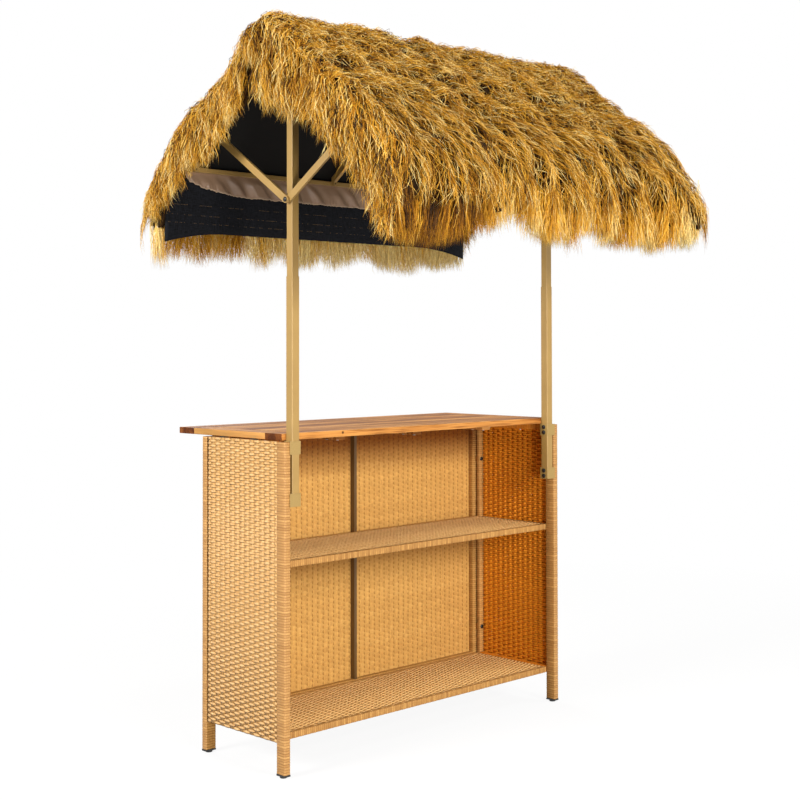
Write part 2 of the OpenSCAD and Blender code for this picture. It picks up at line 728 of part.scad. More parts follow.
module insert_nuts() color(zinc) for (side = both) on_side(side) {
  for (z = clamp_bolts_z) translate([inner_x + wrap_t, 0, z]) insert_nut(12);
  for (z = corner_bolt_z) translate([spacer_x, rear_front_y + wrap_t, z]) rotate([0, 0, 90]) insert_nut(12);
  for (y = shelf_bolt_y, p = shelf_nuts) translate([p[0], y, p[1]]) insert_nut(11);
}

// ---------- canopy frame ----------

module ridge_beam() color(tan_metal)
  beam("x", [-rafter_out, -post_w / 2, ridge_low], [rafter_out, post_w / 2, ridge_top], tube_wall, 2);

// Plate under the ridge with a spigot that fills the top of the post
module ridge_brackets() color(tan_metal) for (side = both) on_side(side) {
  spigot = upper_w / 2 - post_wall - 0.2;
  plate_in = post_x - post_w;
  block([plate_in, -post_w / 2, upper_top], [rafter_out, post_w / 2, ridge_low]);
  beam("z", [post_x - spigot, -spigot, upper_top - ridge_spigot], [post_x + spigot, spigot, upper_top], 2, 1.5);
}

// One rafter towards the customer, centred on x, with a solid foot on the eave bar
module rafter(x) difference() {
  union() {
    difference() {
      across(x - bar_w / 2, x + bar_w / 2) polygon([
        [rafter_y0, roof_z(rafter_y0)], [rafter_y1, roof_z(rafter_y1)],
        [rafter_y1, roof_z(rafter_y1) - rafter_v], [rafter_y0, roof_z(rafter_y0) - rafter_v]
      ]);
      wall_v = tube_wall / cos(roof_angle);
      core_y0 = rafter_y0 + 4;
      core_y1 = rafter_y1 - rafter_foot;
      across(x - bar_w / 2 + tube_wall, x + bar_w / 2 - tube_wall) polygon([
        [core_y0, roof_z(core_y0) - wall_v], [core_y1, roof_z(core_y1) - wall_v],
        [core_y1, roof_z(core_y1) - rafter_v + wall_v], [core_y0, roof_z(core_y0) - rafter_v + wall_v]
      ]);
    }
    block([x - bar_w / 2, rafter_y1 - rafter_foot, eave_top - bar_w], [x + bar_w / 2, rafter_y1, eave_top]);
  }
  rod_y([x, rafter_y1 - 20, eave_bolt_z], 22, bolt_d);
  if (x != 0) rod_x([x - bar_w, strut_reach, strut_top_z], 2 * bar_w, bolt_d + 2 * bolt_clear);
}

module rafters(x) color(tan_metal) for (s = both) on_slope(s) rafter(x);

module eave_bar(slope) color(tan_metal) on_slope(slope) difference() {
  beam("x", [-eave_len / 2, eave_y - bar_w, eave_top - bar_w], [eave_len / 2, eave_y, eave_top],
    tube_wall, 1.5);
  for (x = rafter_x) {
    rod_y([x, eave_y - bar_w - 1, eave_bolt_z], 3, bolt_d + 2 * bolt_clear);
    rod_y([x, eave_y - 3, eave_bolt_z], 4, 11);
  }
}

// Strut from the pivot (or its upper bolt) in the YZ plane, with its inner face on x
module strut(x) {
  run = [strut_reach, strut_top_z - pivot_z];
  len = norm(run);
  lean = atan2(run[1], run[0]);
  translate([x, 0, pivot_z]) rotate([90, 0, 90]) rotate([0, 0, lean]) difference() {
    linear_extrude(strut_t) difference() {
      union() {
        translate([0, -strut_w / 2]) square([len, strut_w]);
        for (p = [0, len]) translate([p, 0]) circle(d = strut_w);
      }
      for (p = [0, len]) translate([p, 0]) circle(d = bolt_d + 2 * bolt_clear);
    }
    // hollow back of the pressed strut, between its flat ends
    translate([strut_w, -strut_w / 2 + 2, -1]) cube([len - 2 * strut_w, strut_w - 4, strut_t - 1]);
  }
}

module struts(side) color(tan_metal) on_side(side) {
  on_slope(-1) strut(strut_x0);
  on_slope(1) strut(strut_x1);
}

// Bushes that keep the outer struts level with their rafters
module strut_bushes() color(tan_metal) for (side = both) on_side(side) difference() {
  rod_x([rafter_out, strut_reach, strut_top_z], strut_x1 - rafter_out, 14);
  rod_x([rafter_out - 1, strut_reach, strut_top_z], strut_x1 - rafter_out + 2, bolt_d + 2 * bolt_clear);
}

nut_h = 5;

// Bolt with a dome head at x1 and a nut at x0, along X
module through_bolt(x0, x1, y, z) {
  translate([x1, y, z]) mirror([1, 0, 0]) dome_bolt(x1 - x0 + nut_h);
  rod_x([x0 - nut_h, y, z], nut_h, 10);
}

module canopy_bolts() color(black) {
  for (side = both) on_side(side) {
    through_bolt(post_x - upper_w / 2, strut_x1 + strut_t, 0, pivot_z);
    through_bolt(rafter_out - bar_w, strut_x1 + strut_t, strut_reach, strut_top_z);
    through_bolt(rafter_out - bar_w, strut_x0 + strut_t, -strut_reach, strut_top_z);
  }
  for (s = both) on_slope(s) for (x = rafter_x) {
    rod_y([x, rafter_y1 - rafter_foot, eave_bolt_z], rafter_foot + tube_wall, bolt_d);
    rod_y([x, rafter_y1 + tube_wall, eave_bolt_z], 3, 10);
  }
}

// ---------- canopy cover ----------

module thatch_backing() color(dark_cloth) across(-backing_len / 2, backing_len / 2) polygon([
  [-backing_y, backing_low], [-backing_y, lining_z(backing_y)], [-flat_y, lining_z(0)], [flat_y, lining_z(0)],
  [backing_y, lining_z(backing_y)], [backing_y, backing_low],
  [cover_y, backing_low], [cover_y, cover_z(cover_y)], [flat_y, cover_z(0)], [-flat_y, cover_z(0)],
  [-cover_y, cover_z(cover_y)], [-cover_y, backing_low]
]);

// Cloth strip on the outside of the eave bar, its lower edge curved up at both ends
module valance(slope) color(taupe) on_slope(slope)
  translate([0, eave_y + valance_t, eave_top - valance_h]) rotate([90, 0, 0])
    linear_extrude(valance_t) polygon(concat(
      [for (s = both, i = [0 : grass_steps]) let (a = 90 * (s < 0 ? i : grass_steps - i) / grass_steps)
        [s * (eave_len / 2 - valance_curve * (1 - cos(90 - a))), valance_rise * (1 - sin(a))]],
      [[eave_len / 2, valance_h], [-eave_len / 2, valance_h]]
    ));

// Tier of thatch between two distances from the ridge, thicker towards its tips
module tier(y0, y1, h) across(-thatch_len / 2, thatch_len / 2) polygon(concat(
  [[y1, grass_z(y1)], [y0, grass_z(y0)]],
  [for (i = [0 : grass_steps]) let (u = i / grass_steps, y = y0 + (y1 - y0) * u)
    [y, grass_z(y) + h + tip_t * sin(90 * u)]]
));

module thatch_ridge_cap() color(straw) across(-thatch_len / 2, thatch_len / 2) polygon(concat(
  [[cap_y, grass_z(cap_y)], [flat_y, grass_z(0)], [-flat_y, grass_z(0)], [-cap_y, grass_z(cap_y)]],
  [for (i = [-grass_steps : grass_steps]) let (y = cap_y * i / grass_steps) [y, crest_z(y)]]
));

module thatch_upper(slope) color(straw) on_slope(slope) tier(cap_y, upper_y, upper_t);

module thatch_middle(slope) color(straw) on_slope(slope) tier(upper_y, middle_y, middle_t);

// Lowest tier: over the eave in one bend and down to the fringe
bend_z = fringe_low + 0.58 * fringe_drop;
eave_start = [middle_y, grass_z(middle_y) + eave_t];
eave_corner = [thatch_y, eave_start[1] - roof_slope * (thatch_y - middle_y)];
eave_end = [thatch_y, bend_z];
function bend(t) = (1 - t) * (1 - t) * eave_start + 2 * t * (1 - t) * eave_corner + t * t * eave_end;

module thatch_eave(slope) color(straw) on_slope(slope)
  across(-thatch_len / 2, thatch_len / 2) polygon(concat(
    [[middle_y, grass_z(middle_y)]],
    [for (i = [0 : grass_steps]) bend(i / grass_steps)],
    [[thatch_y - 5, fringe_low], [grass_y, fringe_low], [grass_y, grass_z(grass_y)]]
  ));

// Grass that hangs below the tiers at both gables
module gable_fringes() color(straw) for (side = both) on_side(side)
  across(thatch_len / 2 - gable_t, thatch_len / 2) polygon([
    [cover_y, cover_z(cover_y)], [flat_y, cover_z(0)], [-flat_y, cover_z(0)],
    [-cover_y, cover_z(cover_y)], [-cover_y, cover_z(cover_y) - gable_drop],
    [-flat_y, cover_z(0) - gable_drop], [flat_y, cover_z(0) - gable_drop],
    [cover_y, cover_z(cover_y) - gable_drop]
  ]);

// ---------- assembly ----------

front_leg(-1);  // front_leg_left
front_leg(1);  // front_leg_right
rear_leg(-1);  // rear_leg_left
rear_leg(1);  // rear_leg_right
leg_wraps();
end_frame(-1);  // end_frame_left
end_frame(1);  // end_frame_right
end_wicker(-1);  // end_wicker_left
end_wicker(1);  // end_wicker_right
customer_frame();
customer_wicker();
shelf_frame(mid_shelf_z);  // mid_shelf_frame
shelf_wicker(mid_shelf_z);  // mid_shelf_wicker
shelf_frame(low_shelf_z);  // low_shelf_frame
shelf_wicker(low_shelf_z);  // low_shelf_wicker
counter_edge_boards();
counter_planks();
counter_battens();
counter_spacers();
counter_screws();
post_clamps(-1);  // post_clamps_left
post_clamps(1);  // post_clamps_right
clamp_bolts();
insert_nuts();
corner_bolts();
corner_spacers();
shelf_bolts();
leg_caps();
lower_post(-1);  // lower_post_left
lower_post(1);  // lower_post_right
post_stops();
levelling_foot(centre_leg, -1);  // levelling_foot_front_left
levelling_foot(centre_leg, 1);  // levelling_foot_front_right
levelling_foot(rear_leg, -1);  // levelling_foot_rear_left
levelling_foot(rear_leg, 1);  // levelling_foot_rear_right
upper_post(-1);  // upper_post_left
upper_post(1);  // upper_post_right
ridge_beam();
ridge_brackets();
rafters(rafter_x[0]);  // rafters_left
rafters(rafter_x[1]);  // rafters_middle
rafters(rafter_x[2]);  // rafters_right
eave_bar(1);  // eave_bar_customer
eave_bar(-1);  // eave_bar_server
struts(-1);  // struts_left
struts(1);  // struts_right
strut_bushes();
canopy_bolts();
thatch_backing();
valance(1);  // valance_customer
valance(-1);  // valance_server
thatch_ridge_cap();
thatch_upper(1);  // thatch_upper_customer
thatch_upper(-1);  // thatch_upper_server
thatch_middle(1);  // thatch_middle_customer
thatch_middle(-1);  // thatch_middle_server
thatch_eave(1);  // thatch_eave_customer
thatch_eave(-1);  // thatch_eave_server
gable_fringes();
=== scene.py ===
# %% [markdown]
# # A thatched serving bar
# A small garden bar: a cabinet of woven panels that opens towards the person serving, a boarded
# wooden counter, two posts clamped to the front legs and a gable roof of long grass. The exact
# frame is already made, so this lesson dresses it: it weaves the panels, winds the legs, hangs the
# cloth and lays the grass, one piece at a time.

# %% Load the frame
import math

import bpy
import numpy as np
from mathutils import Matrix


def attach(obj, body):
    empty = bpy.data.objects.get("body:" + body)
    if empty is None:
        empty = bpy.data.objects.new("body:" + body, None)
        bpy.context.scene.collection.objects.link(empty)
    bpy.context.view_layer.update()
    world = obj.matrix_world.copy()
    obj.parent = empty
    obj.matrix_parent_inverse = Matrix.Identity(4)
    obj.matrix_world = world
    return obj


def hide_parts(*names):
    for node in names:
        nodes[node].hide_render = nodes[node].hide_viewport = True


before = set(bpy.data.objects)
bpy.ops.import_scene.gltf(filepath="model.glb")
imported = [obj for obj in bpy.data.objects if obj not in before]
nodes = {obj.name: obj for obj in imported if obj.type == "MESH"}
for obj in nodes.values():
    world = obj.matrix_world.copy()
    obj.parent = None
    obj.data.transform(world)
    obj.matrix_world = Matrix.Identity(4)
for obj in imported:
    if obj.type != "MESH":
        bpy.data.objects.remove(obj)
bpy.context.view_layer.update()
MM = 0.001
SIDES = ((-1, "server"), (1, "customer"))
ENDS = ((-1, "left"), (1, "right"))

# %% [markdown]
# ## The camera
# The bar is seen from the server's side, a little from the left, at about chest height. A long
# lens keeps the upright lines nearly parallel. The camera is built from three directions (right,
# up and back), which become the columns of its matrix. A small vertical shift frames the bar
# without tipping the camera.

# %% Camera
scene = bpy.context.scene


def stand(name, data, axes, spot):
    """A new object of data at spot, whose own x, y and z run along the three axes."""
    obj = bpy.data.objects.new(name, data)
    scene.collection.objects.link(obj)
    obj.matrix_world = Matrix([[*row, s] for row, s in zip(np.array(axes).T, spot)] + [[0, 0, 0, 1]])
    return obj


yaw, pitch, roll = (math.radians(a) for a in (-44.919, 1.168, -0.080))
eye = np.array([-3.3771, -3.2421, 1.3000])
ahead = np.array([-math.sin(yaw) * math.cos(pitch), math.cos(yaw) * math.cos(pitch), math.sin(pitch)])
level = np.array([math.cos(yaw), math.sin(yaw), 0.0])
above = np.cross(level, ahead)
right = level * math.cos(roll) + above * math.sin(roll)
up = above * math.cos(roll) - level * math.sin(roll)
camera = stand("camera", bpy.data.cameras.new("camera"), (right, up, -ahead), eye)
camera.data.sensor_width = 36.0
camera.data.lens = 63.59
camera.data.shift_x = -0.0003
camera.data.shift_y = -0.1098
camera.data.clip_end = 60.0
scene.camera = camera
print("camera at", eye, "looking", ahead.round(3))

# %% [markdown]
# ## Node tools
# A material is a tree of nodes joined by wires. Set up by hand, each node takes several lines, so
# these helpers add a node, a sum, a blend of two colours, a change between two limits or a noise
# in one call, and every material below is built from them.

# %% Node tools
def tone(r, g, b):
    """Linear colour of an sRGB colour given as 0 to 255."""
    parts = [v / 255 / 12.92 if v <= 10 else ((v / 255 + 0.055) / 1.055) ** 2.4 for v in (r, g, b)]
    return (*parts, 1.0)


def wire(tree, made, inputs):
    """Gives each listed input of a node a value, or a wire from another node's output."""
    for key, value in inputs.items():
        if isinstance(value, bpy.types.NodeSocket):
            tree.links.new(value, made.inputs[key])
        else:
            made.inputs[key].default_value = value
    return made


def node(tree, kind, inputs=None, **settings):
    """A new shader node of that kind with those settings and inputs."""
    made = tree.nodes.new("ShaderNode" + kind)
    for key, value in settings.items():
        setattr(made, key, value)
    return wire(tree, made, inputs or {})


def calc(tree, operation, first, *others, clamp=False):
    """One operation on sockets or numbers, worked through from left to right; returns the result."""
    for other in others or (0.0,):
        made = node(tree, "Math", {0: first, 1: other}, operation=operation, use_clamp=clamp)
        first = made.outputs[0]
    return first


def between(tree, value, low, high, start=0.0, end=1.0):
    """Goes from start to end while value goes from low to high."""
    limits = {"From Min": low, "From Max": high, "To Min": start, "To Max": end}
    return node(tree, "MapRange", {"Value": value, **limits}).outputs["Result"]


def blend(tree, mask, first, second, way="MIX"):
    """Colour first where mask is 0; where it is 1, second, or both joined in that way."""
    colours = {"Factor": mask, "A": first, "B": second}
    return node(tree, "Mix", colours, data_type="RGBA", blend_type=way).outputs["Result"]


def here(tree):
    """Object coordinates, so a pattern stays on its piece when the piece moves."""
    return node(tree, "TexCoord").outputs["Object"]


def noise(tree, where, stretch, **inputs):
    """Noise at the vector where times stretch: a small number draws it out along that axis."""
    scaled = node(tree, "VectorMath", {0: where, 1: stretch}, operation="MULTIPLY").outputs[0]
    return node(tree, "TexNoise", {"Vector": scaled, "Scale": 1.0, **inputs}).outputs["Fac"]


def colour_ramp(tree, value, stops):
    """Colour of value, from stops (place, colour): the first, the last, then those between."""
    ramp = node(tree, "ValToRGB", {"Fac": value})
    marks = ramp.color_ramp.elements
    for i, (at, colour) in enumerate(stops):
        mark = marks[i] if i < 2 else marks.new(at)
        mark.position = at
        mark.color = colour
    return ramp.outputs["Color"]


def new_material(name, roughness, metallic=0.0, specular=0.5):
    """A Principled material; returns the material, its tree and its shader."""
    mat = bpy.data.materials.new(name)
    mat.use_nodes = True
    tree = mat.node_tree
    own = {"Roughness": roughness, "Metallic": metallic, "Specular IOR Level": specular}
    return mat, tree, wire(tree, tree.nodes["Principled BSDF"], own)


def coat(tree, shader, colour, height, relief):
    """Sends a colour to the shader and, where relief isn't 0, bumps of that many metres."""
    wire(tree, shader, {"Base Color": colour})
    if relief:
        bump = node(tree, "Bump", {"Height": height, "Distance": relief})
        wire(tree, shader, {"Normal": bump.outputs["Normal"]})


print("node tools ready")

# %% [markdown]
# ## Studio
# The light is soft and plain: a lamp on the left, one in front that reaches under the counter into
# the open cabinet, one high on the right, a low weak one that reaches under the roof, one behind,
# and an even pale world. What the camera sees behind the bar is pure white, which the Light Path
# node gives to camera rays only, so the white adds no light to the bar. The floor takes part of
# its white the same way, all of it four metres out, and keeps a faint shadow. To the light that it
# throws back at the bar it is a middle grey.

# %% World and floor
scene.view_settings.view_transform = "Standard"
WHITE = (1, 1, 1, 1)


def seen_ray(tree):
    """1 for a ray from the camera, or one that reached the eye by gloss or through glass."""
    path = node(tree, "LightPath").outputs
    return calc(tree, "MAXIMUM", path["Is Camera Ray"], path["Is Glossy Ray"],
                path["Is Transmission Ray"])


def choose(tree, mask, first, second):
    """Output of shader first where mask is 0 and of second where it is 1."""
    inputs = {0: mask, 1: first.outputs[0], 2: second.outputs[0]}
    return node(tree, "MixShader", inputs)


world = bpy.data.worlds.new("studio")
scene.world = world
world.use_nodes = True
tree = world.node_tree
tree.nodes.clear()
light_sky = node(tree, "Background", {"Color": (1.0, 0.98, 0.95, 1), "Strength": 0.15})
white_sky = node(tree, "Background", {"Color": WHITE, "Strength": 1.0})
sky = choose(tree, seen_ray(tree), light_sky, white_sky)
node(tree, "OutputWorld", {"Surface": sky.outputs[0]})

floor_mat, tree, paint = new_material("pale_floor", 0.9)
wire(tree, paint, {"Base Color": (0.96, 0.96, 0.96, 1)})
glow = node(tree, "Emission", {"Color": WHITE})
grey = node(tree, "BsdfDiffuse", {"Color": (0.38, 0.38, 0.38, 1)})
distance = node(tree, "VectorMath", {0: here(tree)}, operation="LENGTH").outputs["Value"]
pale = choose(tree, between(tree, distance, 1.6, 4.0, 0.90, 1.0), paint, glow)
ground = choose(tree, seen_ray(tree), grey, pale)
wire(tree, tree.nodes["Material Output"], {"Surface": ground.outputs[0]})

floor_mesh = bpy.data.meshes.new("floor")
square = [(-14, -14, 0), (14, -14, 0), (14, 14, 0), (-14, 14, 0)]
floor_mesh.from_pydata(square, [], [(0, 1, 2, 3)])
floor_mesh.materials.append(floor_mat)
floor = bpy.data.objects.new("floor", floor_mesh)
scene.collection.objects.link(floor)


# %% Lamps
def lamp(name, spot, target, size, watts, colour=(1, 1, 1)):
    """A square lamp of that size at spot, facing target."""
    data = bpy.data.lights.new(name, "AREA")
    data.size = size
    data.energy = watts
    data.color = colour
    back = np.array(spot, float) - np.array(target, float)
    back /= np.linalg.norm(back)
    side = np.cross((0, 0, 1), back)
    side /= np.linalg.norm(side)
    stand(name, data, (side, np.cross(back, side), back), spot)


lamp("key", (-4.6, 0.5, 2.7), (0, 0.1, 1.3), 1.3, 250, (1.0, 0.985, 0.96))
lamp("front", (-0.3, -4.8, 2.5), (0, 0.1, 0.9), 1.4, 230, (1.0, 0.98, 0.95))
lamp("high", (3.4, -2.8, 6.0), (0, 0.1, 1.2), 1.2, 100, (1.0, 0.98, 0.95))
lamp("low", (-2.0, -4.4, 0.8), (0, 0.4, 1.62), 1.0, 160, (1.0, 0.97, 0.93))
lamp("back", (1.0, 4.4, 3.2), (0, 0.1, 1.2), 2.4, 110)
print("studio: white world, floor, five lamps")

# %% [markdown]
# ## Meshes from whole arrays
# Almost every new piece is a set of rings or a pair of grids: a strand of grass, a strip of cane
# and the winding on a leg are a small outline carried along a path, and a cloth is a grid with a
# second grid behind it. These few functions turn such arrays into closed meshes, so each piece
# only has to say where its points lie.

# %% Arrays into meshes
def gather(*parts):
    """Points or uvs from separate coordinates, which are repeated to one common shape."""
    return np.stack(np.broadcast_arrays(*parts), -1)


def make_mesh(name, points, quads, uv, tris=np.zeros((0, 3), int), smooth=True, shade=None):
    """A mesh object: points (n, 3), quads (m, 4), triangles (k, 3) and one uv for each point."""
    mesh = bpy.data.meshes.new(name)
    mesh.vertices.add(len(points))
    mesh.vertices.foreach_set("co", np.ascontiguousarray(points, np.float32).ravel())
    loops = np.concatenate([quads.ravel(), tris.ravel()]).astype(np.int32)
    mesh.loops.add(len(loops))
    mesh.loops.foreach_set("vertex_index", loops)
    starts = np.concatenate([np.arange(len(quads)) * 4, len(quads) * 4 + np.arange(len(tris)) * 3])
    mesh.polygons.add(len(starts))
    mesh.polygons.foreach_set("loop_start", starts.astype(np.int32))
    if shade is not None:
        mesh.polygons.foreach_set("material_index", shade.astype(np.int32))
    mesh.update(calc_edges=True)
    mesh.polygons.foreach_set("use_smooth", np.full(len(starts), smooth))
    layer = mesh.uv_layers.new(name="strand")
    layer.data.foreach_set("uv", np.ascontiguousarray(uv[loops], np.float32).ravel())
    obj = bpy.data.objects.new(name, mesh)
    scene.collection.objects.link(obj)
    return obj


def ring_faces(count, rings, sides, closed=False):
    """Quads between neighbouring rings of count tubes, whose points run tube, ring, side.

    A ring turns anticlockwise about the way its tube runs, so the faces point outwards. With
    closed the last ring joins the first.
    """
    tube = np.arange(count)[:, None, None] * rings * sides
    r = np.arange(rings if closed else rings - 1)[None, :, None]
    s = np.arange(sides)[None, None, :]
    this, that = tube + r * sides, tube + ((r + 1) % rings) * sides
    after = (s + 1) % sides
    return np.stack([this + s, this + after, that + after, that + s], -1).reshape(-1, 4)


def cap_faces(count, rings, sides):
    """Quads that close both ends of each tube; sides is even and the rings are convex."""
    base = np.arange(count)[:, None] * rings * sides
    caps = []
    for start, turn in ((0, -1), ((rings - 1) * sides, 1)):
        order = np.arange(sides)[::turn]
        caps += [base + start + order[[0, i, i + 1, i + 2]] for i in range(1, sides - 2, 2)]
    return np.concatenate(caps)


def join_tubes(name, tubes, smooth=True):
    """One object of tubes (rings, uv, closed), with rings (tube, ring, side, 3) and uv (..., 2).

    A fourth entry numbers the sides of a tube, and the mesh keeps it as its attribute facing.
    """
    points, quads, uvs, base, facing = [], [], [], 0, []
    for rings, uv, closed, *side in tubes:
        n, k, s, _ = rings.shape
        facing.append(np.tile(side[0] if side else np.zeros(s), n * k))
        faces = ring_faces(n, k, s, closed)
        if not closed:
            faces = np.concatenate([faces, cap_faces(n, k, s)])
        points.append(rings.reshape(-1, 3))
        uvs.append(np.broadcast_to(uv, (n, k, s, 2)).reshape(-1, 2))
        quads.append(faces + base)
        base += n * k * s
    points, quads, uvs = (np.concatenate(rows) for rows in (points, quads, uvs))
    obj = make_mesh(name, points, quads, uvs, smooth=smooth)
    values = obj.data.attributes.new("facing", "FLOAT", "POINT")
    values.data.foreach_set("value", np.concatenate(facing).astype(np.float32))
    return obj


def shell(name, front, back, uv, shade=None):
    """A closed sheet between two grids (rows, columns, 3), with a rim of quads round its edge.

    Its faces point outwards if front lies on the side that the cross product of the way down the
    rows and the way along the columns points to. shade gives each quad of a grid its material.
    """
    rows, cols, _ = front.shape
    index = np.arange(rows * cols).reshape(rows, cols)
    other = index + rows * cols

    def grid(a):
        return np.stack([a[:-1, :-1], a[1:, :-1], a[1:, 1:], a[:-1, 1:]], -1).reshape(-1, 4)

    edges = [(index[0], other[0]), (index[:, -1], other[:, -1]),
             (index[-1][::-1], other[-1][::-1]), (index[:, 0][::-1], other[:, 0][::-1])]
    rim = [np.stack([a[:-1], a[1:], b[1:], b[:-1]], -1) for a, b in edges]
    if shade is not None:
        rim_shade = np.zeros(sum(len(r) for r in rim), int)
        shade = np.concatenate([shade.ravel(), shade.ravel(), rim_shade])
    points = np.concatenate([front.reshape(-1, 3), back.reshape(-1, 3)])
    faces = np.concatenate([grid(index), grid(other)[:, ::-1], *rim])
    return make_mesh(name, points, faces, np.tile(uv.reshape(-1, 2), (2, 1)), shade=shade)


# %% Helpers for every piece
def triangles(obj):
    """How many triangles a mesh has once every polygon is cut into them."""
    return len(obj.data.loops) - 2 * len(obj.data.polygons)


def ramp(value, start, width):
    """0 up to start and 1 from start + width on, straight between; a width below 0 turns it round."""
    return np.clip((value - start) / width, 0, 1)


def ripple(u, v, size, seed):
    """Soft noise, mostly within -1 to 1: 14 sines in random directions, about size metres long."""
    r = np.random.default_rng(seed)
    waves, total = 14, 0.0
    for turn, length, shift in zip(r.uniform(0, np.pi, waves), size * r.uniform(0.7, 1.7, waves),
                                   r.uniform(0, 2 * np.pi, waves)):
        run = u * np.cos(turn) + v * np.sin(turn)
        total = total + np.sin(2 * np.pi / length * run + shift)
    return total / math.sqrt(waves)


def place(obj, mat, body, slot, *replaced):
    """Gives the piece its material and body; it stands for the replaced nodes. slot is not used."""
    obj.data.materials.append(mat)
    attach(obj, body)
    if replaced:
        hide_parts(*replaced)
    return obj


print("array tools ready")

# %% [markdown]
# ## Shared surface effects
# Painted tube, wood and cloth all need a mottle that breaks up the colour and a fine relief. The
# mottle is a node group, built once and placed in each material with its own numbers.

# %% Mottle group
def group(name, inputs, outputs):
    """An empty node group; returns it, the sockets that bring values in, and its output node."""
    g = bpy.data.node_groups.new(name, "ShaderNodeTree")
    for label, kind, value in inputs:
        socket = g.interface.new_socket(label, in_out="INPUT", socket_type="NodeSocket" + kind)
        if value is not None:
            socket.default_value = value
    for label, kind in outputs:
        g.interface.new_socket(label, in_out="OUTPUT", socket_type="NodeSocket" + kind)
    return g, g.nodes.new("NodeGroupInput").outputs, g.nodes.new("NodeGroupOutput")


def mottle_group():
    """Mixes a colour towards a second one by soft noise, and gives the noise."""
    g, given, result = group(
        "mottle", [("Colour", "Color", None), ("Second", "Color", None), ("Scale", "Float", 30.0),
                   ("Amount", "Float", 0.5), ("Stretch", "Vector", (1, 1, 1))],
        [("Colour", "Color"), ("Noise", "Float")])
    soft = noise(g, here(g), given["Stretch"], Scale=given["Scale"], Detail=5, Roughness=0.6)
    spread = between(g, soft, 0.3, 0.7)
    colour = blend(g, calc(g, "MULTIPLY", spread, given["Amount"]), given["Colour"], given["Second"])
    wire(g, result, {"Colour": colour, "Noise": spread})
    return g


MOTTLE = mottle_group()


def mottled(name, colour, second, scale, amount, stretch=(1, 1, 1), roughness=0.5, bump=0.0,
            metallic=0.0, specular=0.5):
    """A material of two mottled sRGB colours with a fine relief of bump metres."""
    mat, tree, shader = new_material(name, roughness, metallic, specular)
    mottle = node(tree, "Group", {"Colour": tone(*colour), "Second": tone(*second), "Scale": scale,
                                  "Amount": amount, "Stretch": stretch}, node_tree=MOTTLE)
    coat(tree, shader, mottle.outputs["Colour"], mottle.outputs["Noise"], bump)
    return mat


def dress(mat, *starts):
    """Gives that material to the CAD nodes whose names start that way; returns their number."""
    chosen = [obj for name, obj in nodes.items() if name.startswith(starts)]
    for obj in chosen:
        for s in obj.material_slots:
            s.material = mat
    return len(chosen)


print("shader groups:", [g.name for g in bpy.data.node_groups])

# %% [markdown]
# ## Painted tube, bolts and feet
# Posts, rails and roof bars are powder-coated steel in a satin tan. The coat is nearly even, so the
# mottle is weak and a tiny relief stands for the orange-peel of the powder. The clamps are cast and
# a little grainier. Bolts, pads and feet are black, screws under the counter are zinc plated.

# %% Metal and plastic
tan_paint = mottled("tan_paint", (157, 126, 69), (143, 112, 59), 14, 0.5, roughness=0.42,
                    bump=0.00002)
clamp_paint = mottled("clamp_paint", (154, 126, 70), (134, 108, 56), 170, 0.5, bump=0.0001)
dark_paint = mottled("dark_paint", (92, 66, 30), (76, 54, 24), 20, 0.5, roughness=0.45)
black_metal = mottled("black_bolt", (24, 23, 22), (46, 44, 42), 120, 0.5, roughness=0.35,
                      metallic=0.5)
black_plastic = mottled("black_plastic", (22, 22, 22), (38, 38, 38), 200, 0.6, roughness=0.55,
                        bump=0.0001)
zinc = mottled("zinc", (160, 160, 156), (128, 128, 126), 90, 0.6, roughness=0.4, metallic=0.9)

painted = dress(tan_paint, "front_leg", "rear_leg", "end_frame", "mid_shelf_frame",
                "low_shelf_frame", "lower_post", "upper_post", "ridge", "rafters", "eave_bar",
                "strut")
dress(dark_paint, "customer_frame")
dress(clamp_paint, "post_clamps")
dress(black_metal, "clamp_bolts", "corner_bolts", "canopy_bolts")
dress(black_plastic, "counter_spacers", "leg_caps", "post_stops", "levelling_foot")
dress(zinc, "counter_screws", "insert_nuts", "shelf_bolts")
print("painted", painted, "tube nodes in tan, and the fasteners")

# %% [markdown]
# ## Oiled boards
# The counter is made of long boards, with a short board across each end. The grain is noise that is
# stretched along the board: fine dark pores over broad bands. The short boards run the other way,
# so the coordinates are swapped where they lie. Each board takes its own piece of the noise by
# adding its number to the coordinates, and the sawn ends of the long boards are darker, as end
# grain drinks more oil. The planed front edge is darker too, with one small knot, and the outer
# faces of the short boards are painted paler, as painted light.

# %% Wood material
BOARD, FIRST_BOARD = 0.0711, 0.0955
END_BOARD_X, BOARD_Y0, BOARD_Y1 = 0.5607, 0.0941, 0.4515
END_FACE_X, FRONT_FACE_Y = 0.6309, 0.0164
KNOT, KNOT_SIZE = (-0.382, 0.016, 1.0145), 1 / 260
WOOD = [(0.30, tone(118, 72, 32)), (0.70, tone(230, 170, 98)), (0.42, tone(160, 103, 50)),
        (0.55, tone(200, 139, 74))]


